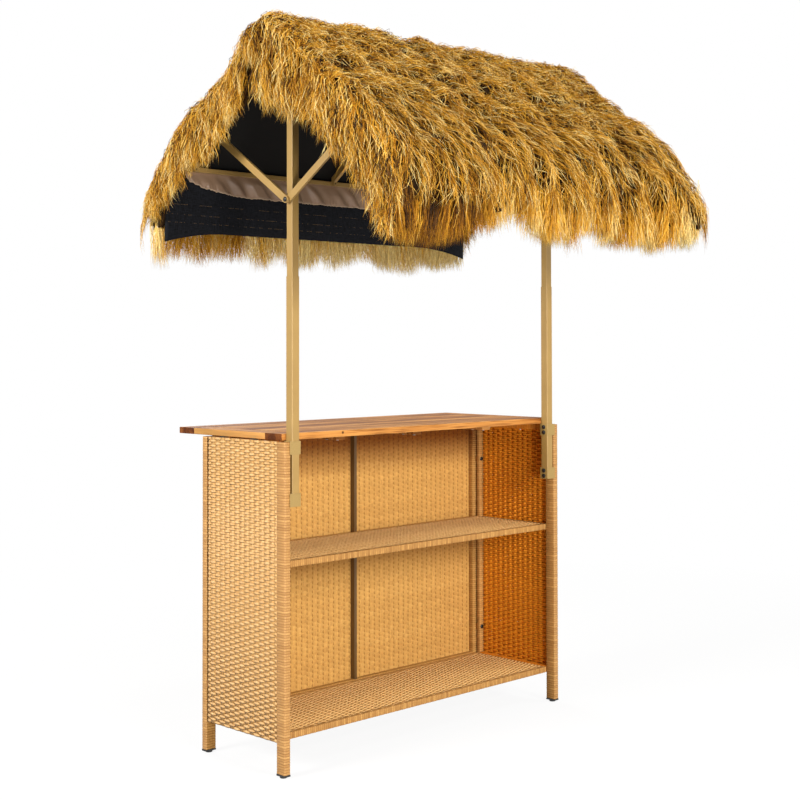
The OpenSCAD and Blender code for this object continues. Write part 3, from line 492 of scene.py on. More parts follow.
def wood_material():
    """Grain along X, or along Y on the end boards; each board has a number and a tone of its own."""
    mat, t, shader = new_material("oiled_wood", 0.6, specular=0.12)
    x, y, z = node(t, "SeparateXYZ", {0: here(t)}).outputs
    far = calc(t, "ABSOLUTE", x)
    off_middle = calc(t, "ABSOLUTE", calc(t, "SUBTRACT", y, (BOARD_Y0 + BOARD_Y1) / 2))
    middle = calc(t, "LESS_THAN", off_middle, (BOARD_Y1 - BOARD_Y0) / 2)
    across = calc(t, "MULTIPLY", calc(t, "GREATER_THAN", far, END_BOARD_X), middle)

    count = calc(t, "FLOOR", calc(t, "DIVIDE", calc(t, "SUBTRACT", y, FIRST_BOARD), BOARD))
    count = calc(t, "MULTIPLY", count, calc(t, "SUBTRACT", 1.0, across))
    number = calc(t, "ADD", count, calc(t, "MULTIPLY", across, calc(t, "SIGN", x), 9.0))
    shift = calc(t, "MULTIPLY", number, 3.7)
    along_x, along_y = (
        node(t, "CombineXYZ", {0: calc(t, "ADD", a, shift), 1: b, 2: z}).outputs[0]
        for a, b in ((x, y), (y, x)))
    way = node(t, "Mix", {"Factor": across, "A": along_x, "B": along_y}, data_type="VECTOR")
    grain = way.outputs["Result"]
    bands = noise(t, grain, (2.2, 30, 30), Detail=3, Distortion=0.6)
    pores = noise(t, grain, (9, 420, 420), Detail=4, Distortion=0.2)

    step = calc(t, "MULTIPLY", calc(t, "SINE", calc(t, "MULTIPLY", number, 2.4)), 0.07)
    colour = colour_ramp(t, calc(t, "ADD", bands, step), WOOD)
    end_face = calc(t, "GREATER_THAN", far, END_FACE_X)
    away = node(t, "VectorMath", {0: here(t), 1: KNOT}, operation="DISTANCE").outputs["Value"]
    for mask, tint, way in (
            (between(t, pores, 0.52, 0.30, 0.0, 0.75), tone(120, 78, 48), "MULTIPLY"),
            (calc(t, "MULTIPLY", end_face, calc(t, "SUBTRACT", 1.0, middle), 0.85),
             tone(120, 78, 45), "MULTIPLY"),
            # Painted light: the short boards' outer faces are mixed towards a pale tone.
            (calc(t, "MULTIPLY", end_face, middle, 0.35), tone(236, 184, 108), "MIX"),
            (calc(t, "LESS_THAN", y, FRONT_FACE_Y), (0.70, 0.60, 0.47, 1), "MULTIPLY"),
            (calc(t, "SUBTRACT", 1.6, calc(t, "DIVIDE", away, KNOT_SIZE), clamp=True),
             tone(66, 36, 16), "MIX")):
        colour = blend(t, mask, colour, tint, way)
    coat(t, shader, colour, pores, 0.00025)
    return mat


boards = dress(wood_material(), "counter_edge_boards", "counter_planks", "counter_battens")
print("oiled", boards, "counter nodes: grain along X, on the end boards along Y")

# %% [markdown]
# ## Cane
# The strand is flat moulded cane nearly 8 mm wide with a crowned face. Its colour is painted paler
# where it bulges forward and darker in the dips, as painted highlight and painted shade. Its colour
# changes from strand to strand and in long streaks along each one, so the material reads the
# piece's own UV map: across is the strand's own number, along is the distance in metres. Inside
# the cabinet the cane is painted deeper and warmer, as painted shade and warm bounced light. Grass
# uses the same kind of material with its own colours.

# %% Strand material
def cabinet_shade_group():
    """Paints shade and warm bounced light into a colour inside the cabinet, and makes it rougher
    there;
    the paint is stronger on its back wall and strongest on its side walls.

    In the sheets, whose two faces are less than 4 mm apart, the attribute facing tells them from
    each other. The back wall also gets a painted shadow in the last 150 mm under the counter and
    under the middle shelf.
    """
    g, given, result = group("cabinet_painted_shade", [("Colour", "Color", None), ("Roughness", "Float", 0.4)],
                             [("Colour", "Color"), ("Roughness", "Float")])
    x, y, z = node(g, "SeparateXYZ", {0: here(g)}).outputs
    side = calc(g, "ABSOLUTE", x)
    facing = node(g, "Attribute", attribute_name="facing").outputs["Fac"]

    def both(*masks):
        return calc(g, "MULTIPLY", *masks)

    def step(value, low, high):
        return between(g, value, low, high)

    sheets = calc(g, "MAXIMUM", step(side, 0.6400, 0.6405), step(y, 0.3850, 0.3855))
    outward = both(sheets, step(facing, 0.01, 0.02))
    inward = both(sheets, step(facing, -0.01, -0.02))
    inside = both(step(side, 0.6432, 0.6422), step(y, 0.3876, 0.3868))
    inside = calc(g, "MINIMUM", inside, calc(g, "SUBTRACT", 1.0, outward))
    inside = both(calc(g, "MAXIMUM", inside, inward), step(y, -0.0140, -0.0130))
    walls = both(inside, step(side, 0.6217, 0.6222), step(y, 0.0236, 0.0240),
                 step(y, 0.3446, 0.3442))
    back_wall = both(inside, step(y, 0.3662, 0.3668))
    # Where the painted shadow falls: under the middle shelf and under the counter
    under_shelf = both(step(z, 0.50, 0.61), step(z, 0.634, 0.630))
    under = both(calc(g, "MAXIMUM", under_shelf, step(z, 0.83, 0.95)), back_wall)
    colour = given["Colour"]
    # Painted shade and warm bounced light inside, and a painted shadow under the counter and mid
    # shelf
    for mask, tint in ((inside, (0.97, 0.94, 0.82)), (back_wall, (0.90, 0.89, 0.74)),
                       (walls, (1.36, 0.85, 0.09)), (under, (0.38, 0.20, 0.03))):
        colour = blend(g, mask, colour, (*tint, 1), "MULTIPLY")
    rough = calc(g, "ADD", given["Roughness"], both(inside, 0.35))
    wire(g, result, {"Colour": colour, "Roughness": rough})
    return g


CABINET_SHADE = cabinet_shade_group()


def strand_material(name, stops, streak, roughness, bump, streak_scale, shade, specular,
                    painted_cabinet_shade=False):
    """Colour from a ramp over each strand's own number, with fine streaks along the strand.

    With the last argument set, the colour gets painted shade and warm bounced light inside the
    cabinet, most of all on its side walls.
    """
    mat, t, shader = new_material(name, roughness, specular=specular)
    uv = node(t, "UVMap", uv_map="strand").outputs[0]
    number = node(t, "SeparateXYZ", {0: uv}).outputs["X"]
    colour = colour_ramp(t, number, [(at, tone(*c)) for at, c in stops])
    streaks = noise(t, uv, (40.0, streak_scale, 1.0), Detail=3)
    dark = between(t, streaks, 0.62, 0.35, 0.0, streak)
    colour = blend(t, dark, colour, tone(*shade), "MULTIPLY")
    if painted_cabinet_shade:
        inputs = {"Colour": colour, "Roughness": roughness}
        inside = node(t, "Group", inputs, node_tree=CABINET_SHADE).outputs
        wire(t, shader, {"Roughness": inside["Roughness"]})
        colour = inside["Colour"]
    coat(t, shader, colour, streaks, bump)
    return mat


# The cane gets painted shade and warm bounced light inside the cabinet.
cane = strand_material(
    "cane", [(0.0, (134, 87, 35)), (1.0, (248, 213, 163)), (0.5, (213, 166, 102))],
    0.3, 0.42, 0.0002, 60.0, (150, 110, 70), 0.3, painted_cabinet_shade=True)
print("cane material made")

# %% [markdown]
# ## Woven panels
# A panel is a plain weave: crowned strands run across in rows 7.9 mm apart and pass in front of one
# upright and behind the next, and the next row does the opposite. Each strand's height above the
# panel is a wave with flat tops and steep flanks, turned over on every other row, so the bulges
# make a brick pattern. The uprights are flat strips and show as a recess above and below each
# bulge. A real weave could be simulated, but the formula is exact and costs nothing.

# %% Weaving
rng = np.random.default_rng(11)
ROW, COLUMN = 7.9 * MM, 24.0 * MM
UPRIGHT_TONE, EDGE_UPRIGHT, EDGE_INSET = 0.46, 0.0048, 0.0049
X, Y, Z = np.eye(3)


def strip(mid, wide_way, thick_way, run_way, half_wide, half_thick):
    """Four-cornered rings round middle lines: half_wide to each side, half_thick front and back.

    Also gives the number of each corner: 1 in front, -1 behind and 0 at the sides.
    """
    turn = 1.0 if np.dot(np.cross(wide_way, thick_way), run_way) > 0 else -1.0
    wide = np.asarray(half_wide)[..., None, None] * np.array([-1.0, 0.0, 1.0, 0.0])[:, None]
    front = turn * np.array([0.0, -1.0, 0.0, 1.0])
    return mid[..., None, :] + wide * wide_way + half_thick * front[:, None] * thick_way, front


def weave(corner, across, up_way, out_way, width, height, swing=0.8 * MM, crown=0.7 * MM, pale=0.16,
          dive=0.10, spread=0.12, slot=0.17):
    """Tubes of a woven sheet that starts at corner and runs width across and height up_way.

    Row j lies at height (j + 1/2) row and passes an upright every column. Four places in each
    column give its middle line: 1 at the upright, 0.9 at slot before half way to the next one, 0
    half way and -0.9 at slot past it, times swing and (-1)^(i + j) for upright i. Its half width
    is row (0.53 + spread times the square of that number). An upright is a flat strip 0.92 of a
    column wide. A strand is painted paler by pale in front, as painted highlight, and darker by dive,
    as painted shade, where it goes inwards through the slot between two uprights, a fifth of that
    where it comes out again.
    """
    rows, columns = int(round(height / ROW)), int(round(width / COLUMN))
    row, column = height / rows, width / columns
    i, j = np.arange(columns)[:, None], np.arange(rows)[:, None]
    a = np.append(((i + np.array([0.0, 0.5 - slot, 0.5, 0.5 + slot])) * column).ravel(), width)
    c = np.append(((-1.0) ** i * np.array([1.0, 0.9, 0.0, -0.9])).ravel(), (-1.0) ** columns)
    c = c * (-1.0) ** j
    wander = rng.normal(0, 0.10 * MM, (rows, 1))
    wander = wander + 0.15 * MM * np.sin(a * 9 + rng.uniform(0, 6, (rows, 1)))
    mid = (corner + a[None, :, None] * across + ((j + 0.5) * row + wander)[..., None] * up_way
           + (swing * c)[..., None] * out_way)
    rings, corners = strip(mid, up_way, out_way, across, row * (0.53 + spread * c * c), crown)
    # Painted highlight on the front bulges and painted shade where a strand dives through a slot
    forward = 0.6 + 0.4 * np.append(np.repeat((-1.0) ** i.ravel(), 4), 1.0) * (-1.0) ** j
    number = rng.uniform(0.46, 0.54, (rows, 1)) + pale * c - dive * forward * (1 - np.abs(c))
    uv = gather(number[..., None], (a + j * 3.1)[..., None], np.zeros(4))[..., :2]

    x = np.clip(np.arange(columns + 1) * column, EDGE_INSET, width - EDGE_INSET)
    post = corner + x[:, None, None] * across + np.array([0.0, height])[None, :, None] * up_way
    half = np.where((x > 6 * MM) & (x < width - 6 * MM), 0.46 * column, EDGE_UPRIGHT)[:, None]
    uprights, sides = strip(post, across, out_way, up_way, half, 0.3 * MM)
    return [(rings, uv, False, corners), (uprights, np.full(2, UPRIGHT_TONE), False, sides)]


def cane_piece(name, tubes, *replaced, smooth=True):
    """One object of cane tubes, which stands for the replaced nodes."""
    obj = place(join_tubes(name, tubes, smooth), cane, "bar", "wicker", *replaced)
    print(name, triangles(obj), "triangles")


print("weave: rows of", ROW, "m, columns of", COLUMN, "m")

# %% [markdown]
# ## Wound tubes
# Legs, rails and the shelves' edges are wound with the same strand, side by side. The winding is a
# sleeve round the tube whose outline dips where two turns meet: four rings to each turn, carried
# along the tube, and two rings that lead back along the inside and close the sleeve. A modelled
# groove catches the light better here than a bump map, because the turns stand proud at the
# corners.

# %% Winding
def wind(lo, hi, axis, turn=7.95 * MM, lid=False, beat=(0.0,)):
    """A wound sleeve that fills the box lo to hi; its tube runs along axis 0, 1 or 2.

    The outline is a rectangle with round corners, moved inwards by an inset: dip at 3% and 97% of
    a turn and 0 at 20% and 80%. beat is added to the inset of one turn after another. The inside
    lies wall deep, and lid closes the far end over the tube.
    """
    wall, dip, radius = 1.4 * MM, 0.8 * MM, 2.4 * MM
    lo, hi = np.array(lo, float), np.array(hi, float)
    centre, half = (lo + hi) / 2, (hi - lo) / 2
    length = hi[axis] - lo[axis]
    turns = max(int(round(length / turn)), 1)
    at = (np.arange(turns)[:, None] + np.array([0.03, 0.20, 0.80, 0.97])).ravel() * length / turns
    extra = np.resize(beat, turns) + rng.uniform(0, 0.1 * MM, turns)
    inset = np.tile([dip, 0.0, 0.0, dip], turns) + np.repeat(extra, 4)
    inset = np.concatenate([[wall, wall], inset])[:, None]
    turned = np.radians(np.array([-90.0, -45.0, 0.0]) + 90 * np.arange(4)[:, None]).ravel()
    rings = np.zeros((1, len(inset), 12, 3))
    for way, sign, wave in (((axis + 1) % 3, [1, 1, -1, -1], np.cos),
                            ((axis + 2) % 3, [-1, 1, 1, -1], np.sin)):
        rings[0, :, :, way] = (centre[way] + np.repeat(sign, 3) * (half[way] - radius)
                               + (radius - inset) * wave(turned))
    back = [length - (wall if lid else 0.0), 0.0]
    rings[0, :, :, axis] = (lo[axis] + np.concatenate([back, at]))[:, None]
    # Painted shade: turns that sit lower, the dips where two turns meet and the inner rings are
    # darker.
    number = rng.uniform(0.27, 0.37, turns) - np.resize(beat, turns) / MM * 0.3
    number = np.repeat(number, 4) - np.tile([0.2, 0.0, 0.0, 0.2], turns)
    number = np.concatenate([[0.2, 0.2], number])
    return rings, gather(number[None, :, None], np.linspace(0, 0.12, 12)), not lid


LEG_LOW, TOP = 0.010, 0.998
HALF_LEN, FRONT_Y, BACK_Y = 0.645, -0.0145, 0.3895
THIN, WIDE = 0.023, 0.038
INNER_X, SIDE_X = HALF_LEN - THIN, HALF_LEN - WIDE
sleeves = []
for sx, word in ENDS:
    x = sorted((sx * HALF_LEN, sx * INNER_X))
    sleeves.append(wind((x[0], FRONT_Y, LEG_LOW), (x[1], FRONT_Y + WIDE, TOP), 2, lid=True,
                        beat=(0.0, 0.2 * MM)))
    x = sorted((sx * HALF_LEN, sx * SIDE_X))
    sleeves.append(wind((x[0], BACK_Y - THIN, LEG_LOW), (x[1], BACK_Y, TOP), 2, lid=True))
cane_piece("leg_winding", sleeves, "leg_wraps")

# %% [markdown]
# ## End panels and customer panel
# The sheets lie on the outside of the tube frames and their rails are wound, so each panel is a
# woven sheet with wound rails behind it. The customer's sheet is wide and is made as two halves
# that meet behind the centre stile.

# %% Panels
LOW, RAIL = 0.102, 0.023
MID_PLANE, SHEET_BACK = 1.9 * MM, 3.6 * MM
RAIL_ENDS = (LOW, TOP - RAIL)
stile_back = BACK_Y - THIN - 0.007
for sx, word in ENDS:
    corner = np.array([sx * (HALF_LEN - MID_PLANE), FRONT_Y + WIDE, LOW])
    sheet = weave(corner, Y, Z, sx * X, stile_back - FRONT_Y - WIDE, TOP - LOW)
    x = sorted((sx * INNER_X, sx * (HALF_LEN - SHEET_BACK)))
    rails = [wind((x[0], FRONT_Y + WIDE, z), (x[1], stile_back, z + RAIL), 1) for z in RAIL_ENDS]
    stile = wind((x[0], stile_back - 0.0150, LOW + RAIL), (x[1], stile_back, TOP - RAIL), 2)
    cane_piece(f"end_panel_{word}", sheet + rails + [stile], f"end_wicker_{word}")

for start, word in ((-SIDE_X, "left"), (0.0, "right")):
    corner = np.array([start, BACK_Y - MID_PLANE, LOW])
    sheet = weave(corner, X, Z, Y, SIDE_X, TOP - LOW, 0.50 * MM, 0.95 * MM, pale=0.0, dive=0.42,
                  spread=0.36, slot=0.13)
    rails = [wind((start, BACK_Y - THIN, z), (start + SIDE_X, BACK_Y - SHEET_BACK, z + RAIL), 0)
             for z in RAIL_ENDS]
    cane_piece(f"customer_panel_{word}", sheet + rails, "customer_wicker", smooth=False)
dress(cane, "corner_spacers")

# %% [markdown]
# ## Shelves
# Each shelf is woven from long strands over bars that run from front to back, and its front and
# back edges are wound. Every third strand of the winding sits a little lower, where the bars' ends
# are, and is painted a little darker, as painted shade.

# %% Shelf decks and edges
EDGE = 0.020
shelf_front, shelf_back = FRONT_Y + WIDE, BACK_Y - THIN - 0.0005
for z, word in ((0.121, "low"), (0.636, "mid")):
    corner = np.array([-INNER_X, shelf_front + EDGE / 2, z - 1.3 * MM])
    deck = weave(corner, X, Y, Z, 2 * INNER_X, shelf_back - shelf_front - EDGE, 0.95 * MM, 0.8 * MM,
                 pale=0.27, dive=0.36, spread=0.05)
    edges = [wind((-INNER_X, y, z - EDGE), (INNER_X, y + EDGE, z + 0.4 * MM), 0, turn=8.1 * MM,
                  beat=(0.0, 0.0, 0.3 * MM)) for y in (shelf_front, shelf_back - EDGE)]
    cane_piece(f"{word}_shelf_weave", deck + edges, f"{word}_shelf_wicker")

# %% [markdown]
# ## Roof cloth
# A dark cloth carries the grass. It lies over the ridge beam and the rafters, turns down behind the
# eave bars and hangs below them as a skirt. It is one sheet: a line in the YZ plane, carried along
# the roof. Between the rafters it sags a few millimetres under the grass, and the free skirt waves
# and droops at its corners. The underside of the roof is smooth, the skirt is a coarse weave with
# three faint rows of stitches.

# %% Roof line
RIDGE, FLAT, EAVE_BAR_Y, FALL = 2.238, 0.0145, 0.4975, 0.371
SLOPE = (FALL - 0.003) / (EAVE_BAR_Y - FLAT)
ANGLE = math.atan(SLOPE)
EAVE_Z = RIDGE - FALL


def roof_z(y):
    """Height of the rafters' top: level over the ridge beam, then falling by SLOPE for each metre."""
    return RIDGE - SLOPE * np.maximum(np.abs(y) - FLAT, 0)


def polyline(points, count):
    """count points at even distances along a line of (y, z) points, with the total length."""
    points = np.array(points, float)
    run = np.concatenate([[0], np.cumsum(np.linalg.norm(np.diff(points, axis=0), axis=1))])
    at = np.linspace(0, run[-1], count)
    return np.interp(at, run, points[:, 0]), np.interp(at, run, points[:, 1]), run[-1]


# %% Cloth materials
def skirt_material():
    """Coarse dark weave: crossing threads of uneven tone, and three broken rows of stitches."""
    mat, t, shader = new_material("skirt_cloth", 0.85, specular=0.15)
    x, _, z = node(t, "SeparateXYZ", {0: here(t)}).outputs
    threads = [noise(t, here(t), stretch) for stretch in ((900, 900, 60), (60, 60, 900))]
    height = calc(t, "ADD", *threads)
    near = [calc(t, "LESS_THAN", calc(t, "ABSOLUTE", calc(t, "SUBTRACT", z, row)), 0.9 * MM)
            for row in (1.745, 1.712, 1.686)]
    dash = calc(t, "GREATER_THAN", calc(t, "SINE", calc(t, "MULTIPLY", x, 1100.0)), 0.45)
    shown = calc(t, "GREATER_THAN", noise(t, here(t), (1, 1, 1), Scale=60.0), 0.52)
    stitch = calc(t, "MULTIPLY", dash, calc(t, "ADD", *near), shown)
    cloth = blend(t, between(t, height, 0.8, 1.25), tone(4, 5, 7), tone(30, 32, 38))
    coat(t, shader, blend(t, stitch, cloth, tone(122, 98, 58)), height, 0.0006)
    return mat


lining_cloth = mottled("lining_cloth", (9, 9, 8), (15, 14, 13), 6, 0.6, roughness=0.8, bump=0.0004,
                       specular=0.15)
skirt_cloth = skirt_material()
print("two dark cloths made")

# %% Roof cloth sheet
SKIRT_Y, SKIRT_LOW, CLOTH_X = 0.5035, 1.655, 0.708
INNER, OUTER = 0.0002, 0.0026
STEPS, CLOTH_COLUMNS = 141, 85
top_line = [(-SKIRT_Y, roof_z(SKIRT_Y) + 0.4 * MM), (-FLAT, RIDGE + 0.8 * MM),
            (FLAT, RIDGE + 0.8 * MM), (SKIRT_Y, roof_z(SKIRT_Y) + 0.4 * MM)]
ry, rz, cloth_len = polyline([(-SKIRT_Y, SKIRT_LOW), *top_line, (SKIRT_Y, SKIRT_LOW)], STEPS)
ry, rz, rx = ry[:, None], rz[:, None], np.linspace(-CLOTH_X, CLOTH_X, CLOTH_COLUMNS)[None, :]

on_slope = ramp(np.abs(ry), 0.05, 0.1) * ramp(np.abs(ry), 0.46, -0.08)
bay = np.abs(np.sin(np.pi * np.clip(np.abs(rx), 0, 0.6) / 0.6))
sag = 0.006 * on_slope * np.where(np.abs(rx) > 0.62, 0.6 * ramp(np.abs(rx), 0.62, 0.09), bay)
skirt = np.abs(ry) > SKIRT_Y - 1e-4
hang = ramp(rz, roof_z(SKIRT_Y) - 0.03, -0.18) * skirt
droop = 0.035 * hang * ramp(np.abs(rx), 0.45, 0.26) ** 2
tucks = ((-0.17, 0.10, 1.5), (0.19, 0.05, 1.0), (0.42, 0.06, 1.0), (0.72, 0.12, 1.0))
tuck = sum(deep * np.exp(-((rx - at) / size) ** 2) for at, size, deep in tucks)
server_droop = 0.4 * droop * (rx < 0) - 0.050 * hang * np.minimum(tuck, 1.5)
droop = np.where(ry < 0, server_droop, droop)
out = np.sign(ry) * hang * (0.0005 + 0.002 * hang * ripple(rx, rz * 0.3 + ry, 0.24, 5))
mid = gather(rx, ry + out - np.sign(ry) * sag * math.sin(ANGLE) * 0.4, rz - sag - droop)
normal = np.cross(np.gradient(mid, axis=1), np.gradient(mid, axis=0))
normal /= np.linalg.norm(normal, axis=2, keepdims=True)
cloth_uv = gather(rx, np.linspace(0, cloth_len, STEPS)[:, None])
is_skirt = (skirt & (rz < roof_z(SKIRT_Y) - 0.004)) * np.ones(CLOTH_COLUMNS, int)
roof_cloth = shell("roof_cloth", mid + normal * INNER, mid + normal * OUTER, cloth_uv,
                   is_skirt[:-1, :-1])
place(roof_cloth, lining_cloth, "canopy", "backing", "thatch_backing")
roof_cloth.data.materials.append(skirt_cloth)
print("roof cloth:", round(cloth_len, 3), "m from skirt to skirt")

# %% [markdown]
# ## Valances
# A strip of taupe cloth hangs from each eave bar on the inside of the skirt. Its lower corners
# sweep up in a long curve, the hem is gathered on a cord, so it puckers, and soft folds run up from
# it. The strip is a grid: across it the length, down it the drop, which ends at the curved hem. A
# thin rolled hem follows the lower edge.

# %% Valance cloth
valance_cloth = mottled("valance_cloth", (148, 120, 96), (128, 103, 82), 40, 0.6, roughness=0.42,
                        bump=0.0001)
hem_cloth = mottled("hem_cloth", (196, 170, 142), (160, 136, 110), 300, 0.7, roughness=0.6,
                    bump=0.0004)
VALANCE, DEEP, SWEEP, SWEEP_HIGH = 1.264, 0.084, 0.310, 0.060
VALANCE_TOP, HEM_LOW, VALANCE_Y = EAVE_Z - 1.5 * MM, 1.783, 0.4987


def hem_z(x):
    """Lower edge of a valance: level in the middle, then a quarter ellipse up to each end."""
    run = ramp(np.abs(x), VALANCE / 2 - SWEEP, SWEEP)
    return HEM_LOW + SWEEP_HIGH * (1 - np.sqrt(np.maximum(1 - run ** 2, 0)))


vx = np.linspace(-VALANCE / 2, VALANCE / 2, 341)
down = np.linspace(0, 1, 13)[:, None]
for sy, word in SIDES:
    full_drop = VALANCE_TOP - hem_z(vx)
    drop = down * full_drop
    height = VALANCE_TOP - drop
    below = ramp(height, EAVE_Z - 0.016, -0.03)
    folds = ripple(vx + height * 0.75, height * 0.15, 0.075, 21 + sy)
    pucker = ramp(down, 0.66, 0.34) ** 2 * ripple(vx, 0 * height, 0.016, 31 + sy)
    inward = below * (0.0060 + 0.0090 * folds) + pucker * 0.003 * below
    cloth = gather(vx, sy * (VALANCE_Y - np.clip(inward, -0.002, 0.012)), height + pucker * MM)
    push = np.array([0.0, 0.7 * MM, 0.0])
    valance = shell(f"valance_{word}_cloth", cloth - push, cloth + push, gather(vx, drop))
    place(valance, valance_cloth, "canopy", "valance", f"valance_{word}")

    turned = np.radians(np.arange(6) * 60.0)
    thick = 0.0020 + 0.0004 * ripple(vx, 0 * vx, 0.011, 41)
    ring = gather(0 * turned, np.cos(turned), np.sin(turned))
    rings = cloth[-1][None, :, None, :] + thick[None, :, None, None] * ring
    hem = join_tubes(f"valance_{word}_hem", [(rings, gather(vx[:, None], turned), False)])
    place(hem, hem_cloth, "canopy", "valance")

# %% [markdown]
# ## Grass
# The roof is covered with long crinkled grass, thicker at the ridge and in three more rows below
# it. Hair particles would be easy, but they can't be carried to other programs, so each strand is a
# small closed mesh: four rings of three points and a tip. A strand starts inside the row and runs
# down over it at an angle of its own. The grass swells into tufts, strands are fewer in the hollows
# between them, and there the undercoat shows, coloured near black as painted shade.

# %% Grass material and strands
straw = strand_material(
    "straw", [(0.0, (44, 26, 4)), (1.0, (255, 232, 156)), (0.22, (136, 84, 8)),
              (0.45, (212, 148, 28)), (0.7, (242, 188, 64))],
    0.4, 0.6, 0.0, 45.0, (130, 84, 26), 0.2)
# Painted shade: the undercoat is near black-brown, so the hollows between tufts read as shade.
undercoat_shade = mottled("undercoat_shade", (20, 12, 4), (50, 32, 10), 60, 1.0, (1, 1, 0.4), roughness=0.9,
                    bump=0.004, specular=0.1)
BLADE = ring_faces(1, 4, 3)
BLADE_TIP = np.array([[9, 10, 12], [10, 11, 12], [11, 9, 12], [0, 2, 1]])


def grass(name, path, width, number, *replaced):
    """One object of strands along path (n, 5, 3), root to tip.

    The rings are width times 0.8, 1, 0.85 and 0.55 wide, and turn about the way the strand runs.
    """
    n = len(path)
    run = np.gradient(path, axis=1)
    run /= np.linalg.norm(run, axis=2, keepdims=True)
    side = np.cross(run, rng.normal(size=(n, 1, 3)))
    side /= np.linalg.norm(side, axis=2, keepdims=True)
    other = np.cross(run, side)
    radius = width[:, None] / 2 * np.array([0.8, 1.0, 0.85, 0.55])
    turned = np.radians([0.0, 120.0, 240.0])[None, None, :, None]
    ring = (np.cos(turned) * side[:, :4, None, :] + np.sin(turned) * other[:, :4, None, :])
    ring = path[:, :4, None, :] + ring * radius[..., None, None]
    points = np.concatenate([ring.reshape(n, 12, 3), path[:, 4:5]], 1)
    base = np.arange(n)[:, None, None] * 13
    t = np.concatenate([np.repeat([0.0, 0.25, 0.5, 0.75], 3), [1.0]])
    # Painted shade: each strand is darker at its root and paler towards its tip.
    across = np.clip(number[:, None] + 0.26 * (t - 0.5), 0.0, 1.0)
    uv = np.stack([across, t * 0.12 + np.arange(n)[:, None] * 0.37], -1)
    obj = make_mesh(name, points.reshape(-1, 3), (BLADE + base).reshape(-1, 4),
                    uv.reshape(-1, 2), (BLADE_TIP + base).reshape(-1, 3))
    place(obj, straw, "canopy", "thatch", *replaced)
    print(name, n, "strands,", triangles(obj), "triangles")


# %% [markdown]
# The rows of grass share one description: a line in the YZ plane that is the row's outer face, from
# its top to its tips. A strand is laid along that line from its own starting distance, so it bends
# over the eave with the row and hangs straight below it. Towards the gables the strands fan
# outwards, and the whole surface is bent round the roof's end, so there is no hard edge.

# %% Lines of the rows
def grass_z(y):
    """Underside of the grass: the roof line, the cloth's thickness and its two small gaps."""
    return roof_z(y) + 0.0002 + 0.003 / math.cos(ANGLE) + 0.0002


def crest_z(y):
    """Outer face of the ridge row: a hyperbola that rounds the ridge with a radius of about 35 mm."""
    return 2.288 - SLOPE * (np.sqrt(y * y + 0.0012) - 0.035)


def tier_line(y0, y1, thick):
    """Outer face of a row between two distances from the ridge, 12 mm thicker at its tips."""
    y = np.linspace(y0, y1, 9)
    return gather(y, grass_z(y) + thick + 0.012 * np.sin(np.pi / 2 * (y - y0) / (y1 - y0)))


def row_length(line):
    """Length of a (y, z) line."""
    return float(np.linalg.norm(np.diff(line, axis=0), axis=1).sum())


def eave_line():
    """Outer face of the eave row: a parabola from the slope round to the fringe, then its tips."""
    drop, out, first = 0.311, 0.575, 0.375
    tips = EAVE_Z - drop
    start = np.array([first, grass_z(first) + 0.030])
    corner = np.array([out, start[1] - SLOPE * 0.200])
    end = np.array([out, tips + 0.58 * drop])
    t = np.linspace(0, 1, 17)[:, None]
    bend = (1 - t) ** 2 * start + 2 * t * (1 - t) * corner + t * t * end
    return np.concatenate([bend, [[0.572, tips]]])


near_ridge = np.linspace(0.0, 0.170, 15)
ROWS = {
    "ridge": gather(near_ridge, crest_z(near_ridge)),
    "upper": tier_line(0.170, 0.255, 0.046),
    "middle": tier_line(0.255, 0.375, 0.035),
    "eave": eave_line(),
}
STARTS = dict(zip(ROWS, np.cumsum([0.0] + [row_length(line) for line in ROWS.values()])))
EDGE_X, EDGE_R = 0.690, 0.045
CLEAR_Y, FAR_Y = 0.5088, 0.604
print("rows start at", {row: round(float(s), 3) for row, s in STARTS.items()})


# %% Shape of the whole roof
def follow(line, distance):
    """Points and normals at distances along a (y, z) line, straight on past both ends."""
    step = np.diff(line, axis=0)
    size = np.linalg.norm(step, axis=1)
    run = np.concatenate([[0], np.cumsum(size)])
    k = np.clip(np.searchsorted(run, distance) - 1, 0, len(step) - 1)
    way = step[k] / size[k][..., None]
    return line[k] + way * (distance - run[k])[..., None], gather(-way[..., 1], way[..., 0])


def over_edge(x, z, radius=EDGE_R):
    """Bends the face down at the gables: x past EDGE_X runs round a quarter circle, then down."""
    extra = np.maximum(np.abs(x) - EDGE_X, 0)
    turn = np.minimum(extra / EDGE_R, np.pi / 2)
    beyond = np.maximum(extra - EDGE_R * np.pi / 2, 0)
    side = np.minimum(np.abs(x), EDGE_X) + radius * np.sin(turn)
    return np.sign(x) * side, z - radius * (1 - np.cos(turn)) - beyond


def swelling(x, s, sy):
    """The broad shapes of the roof, in metres, at x and the distance s from the ridge.

    A ridge that rises 7 mm to the right, a swelling at the server's right shoulder and a hollow near
    the top of the customer's left edge.
    """
    swell = 0.030 * np.exp(-((x - 0.68) / 0.14) ** 2 - ((s - 0.54) / 0.10) ** 2) * (sy < 0)
    hollow = 0.034 * np.exp(-((x + 0.72) / 0.20) ** 2 - ((s - 0.23) / 0.11) ** 2) * (sy > 0)
    return swell - hollow + 0.007 * x / 0.7 * np.exp(-(s / 0.25) ** 2)


def tufts(x, s, sy, broad=1):
    """Height of the tufts over the row's face, in metres, at x and the distance s from the ridge.

    Two ripples, three and four times as long down the slope as across it and stronger near the
    eave, and broad times the swelling.
    """
    grow = 1 + 0.8 * ramp(s, 0.35, 0.2)
    fine = (0.0075 * ripple(x + 3.1 * sy, 0.35 * s, 0.12, 901)
            + 0.0055 * ripple(x + 3.1 * sy, 0.25 * s, 0.055, 902))
    return grow * fine + broad * swelling(x, s, sy)


# %% Laying strands
def lock_centre(x, along, lock, size, seed):
    """Middle of each strand's lock: locks are lock wide and wander by a ripple of that size."""
    wander = 0.5 * lock * ripple(x, along, size, seed)
    return (np.floor((x + wander) / lock) + 0.5) * lock - wander


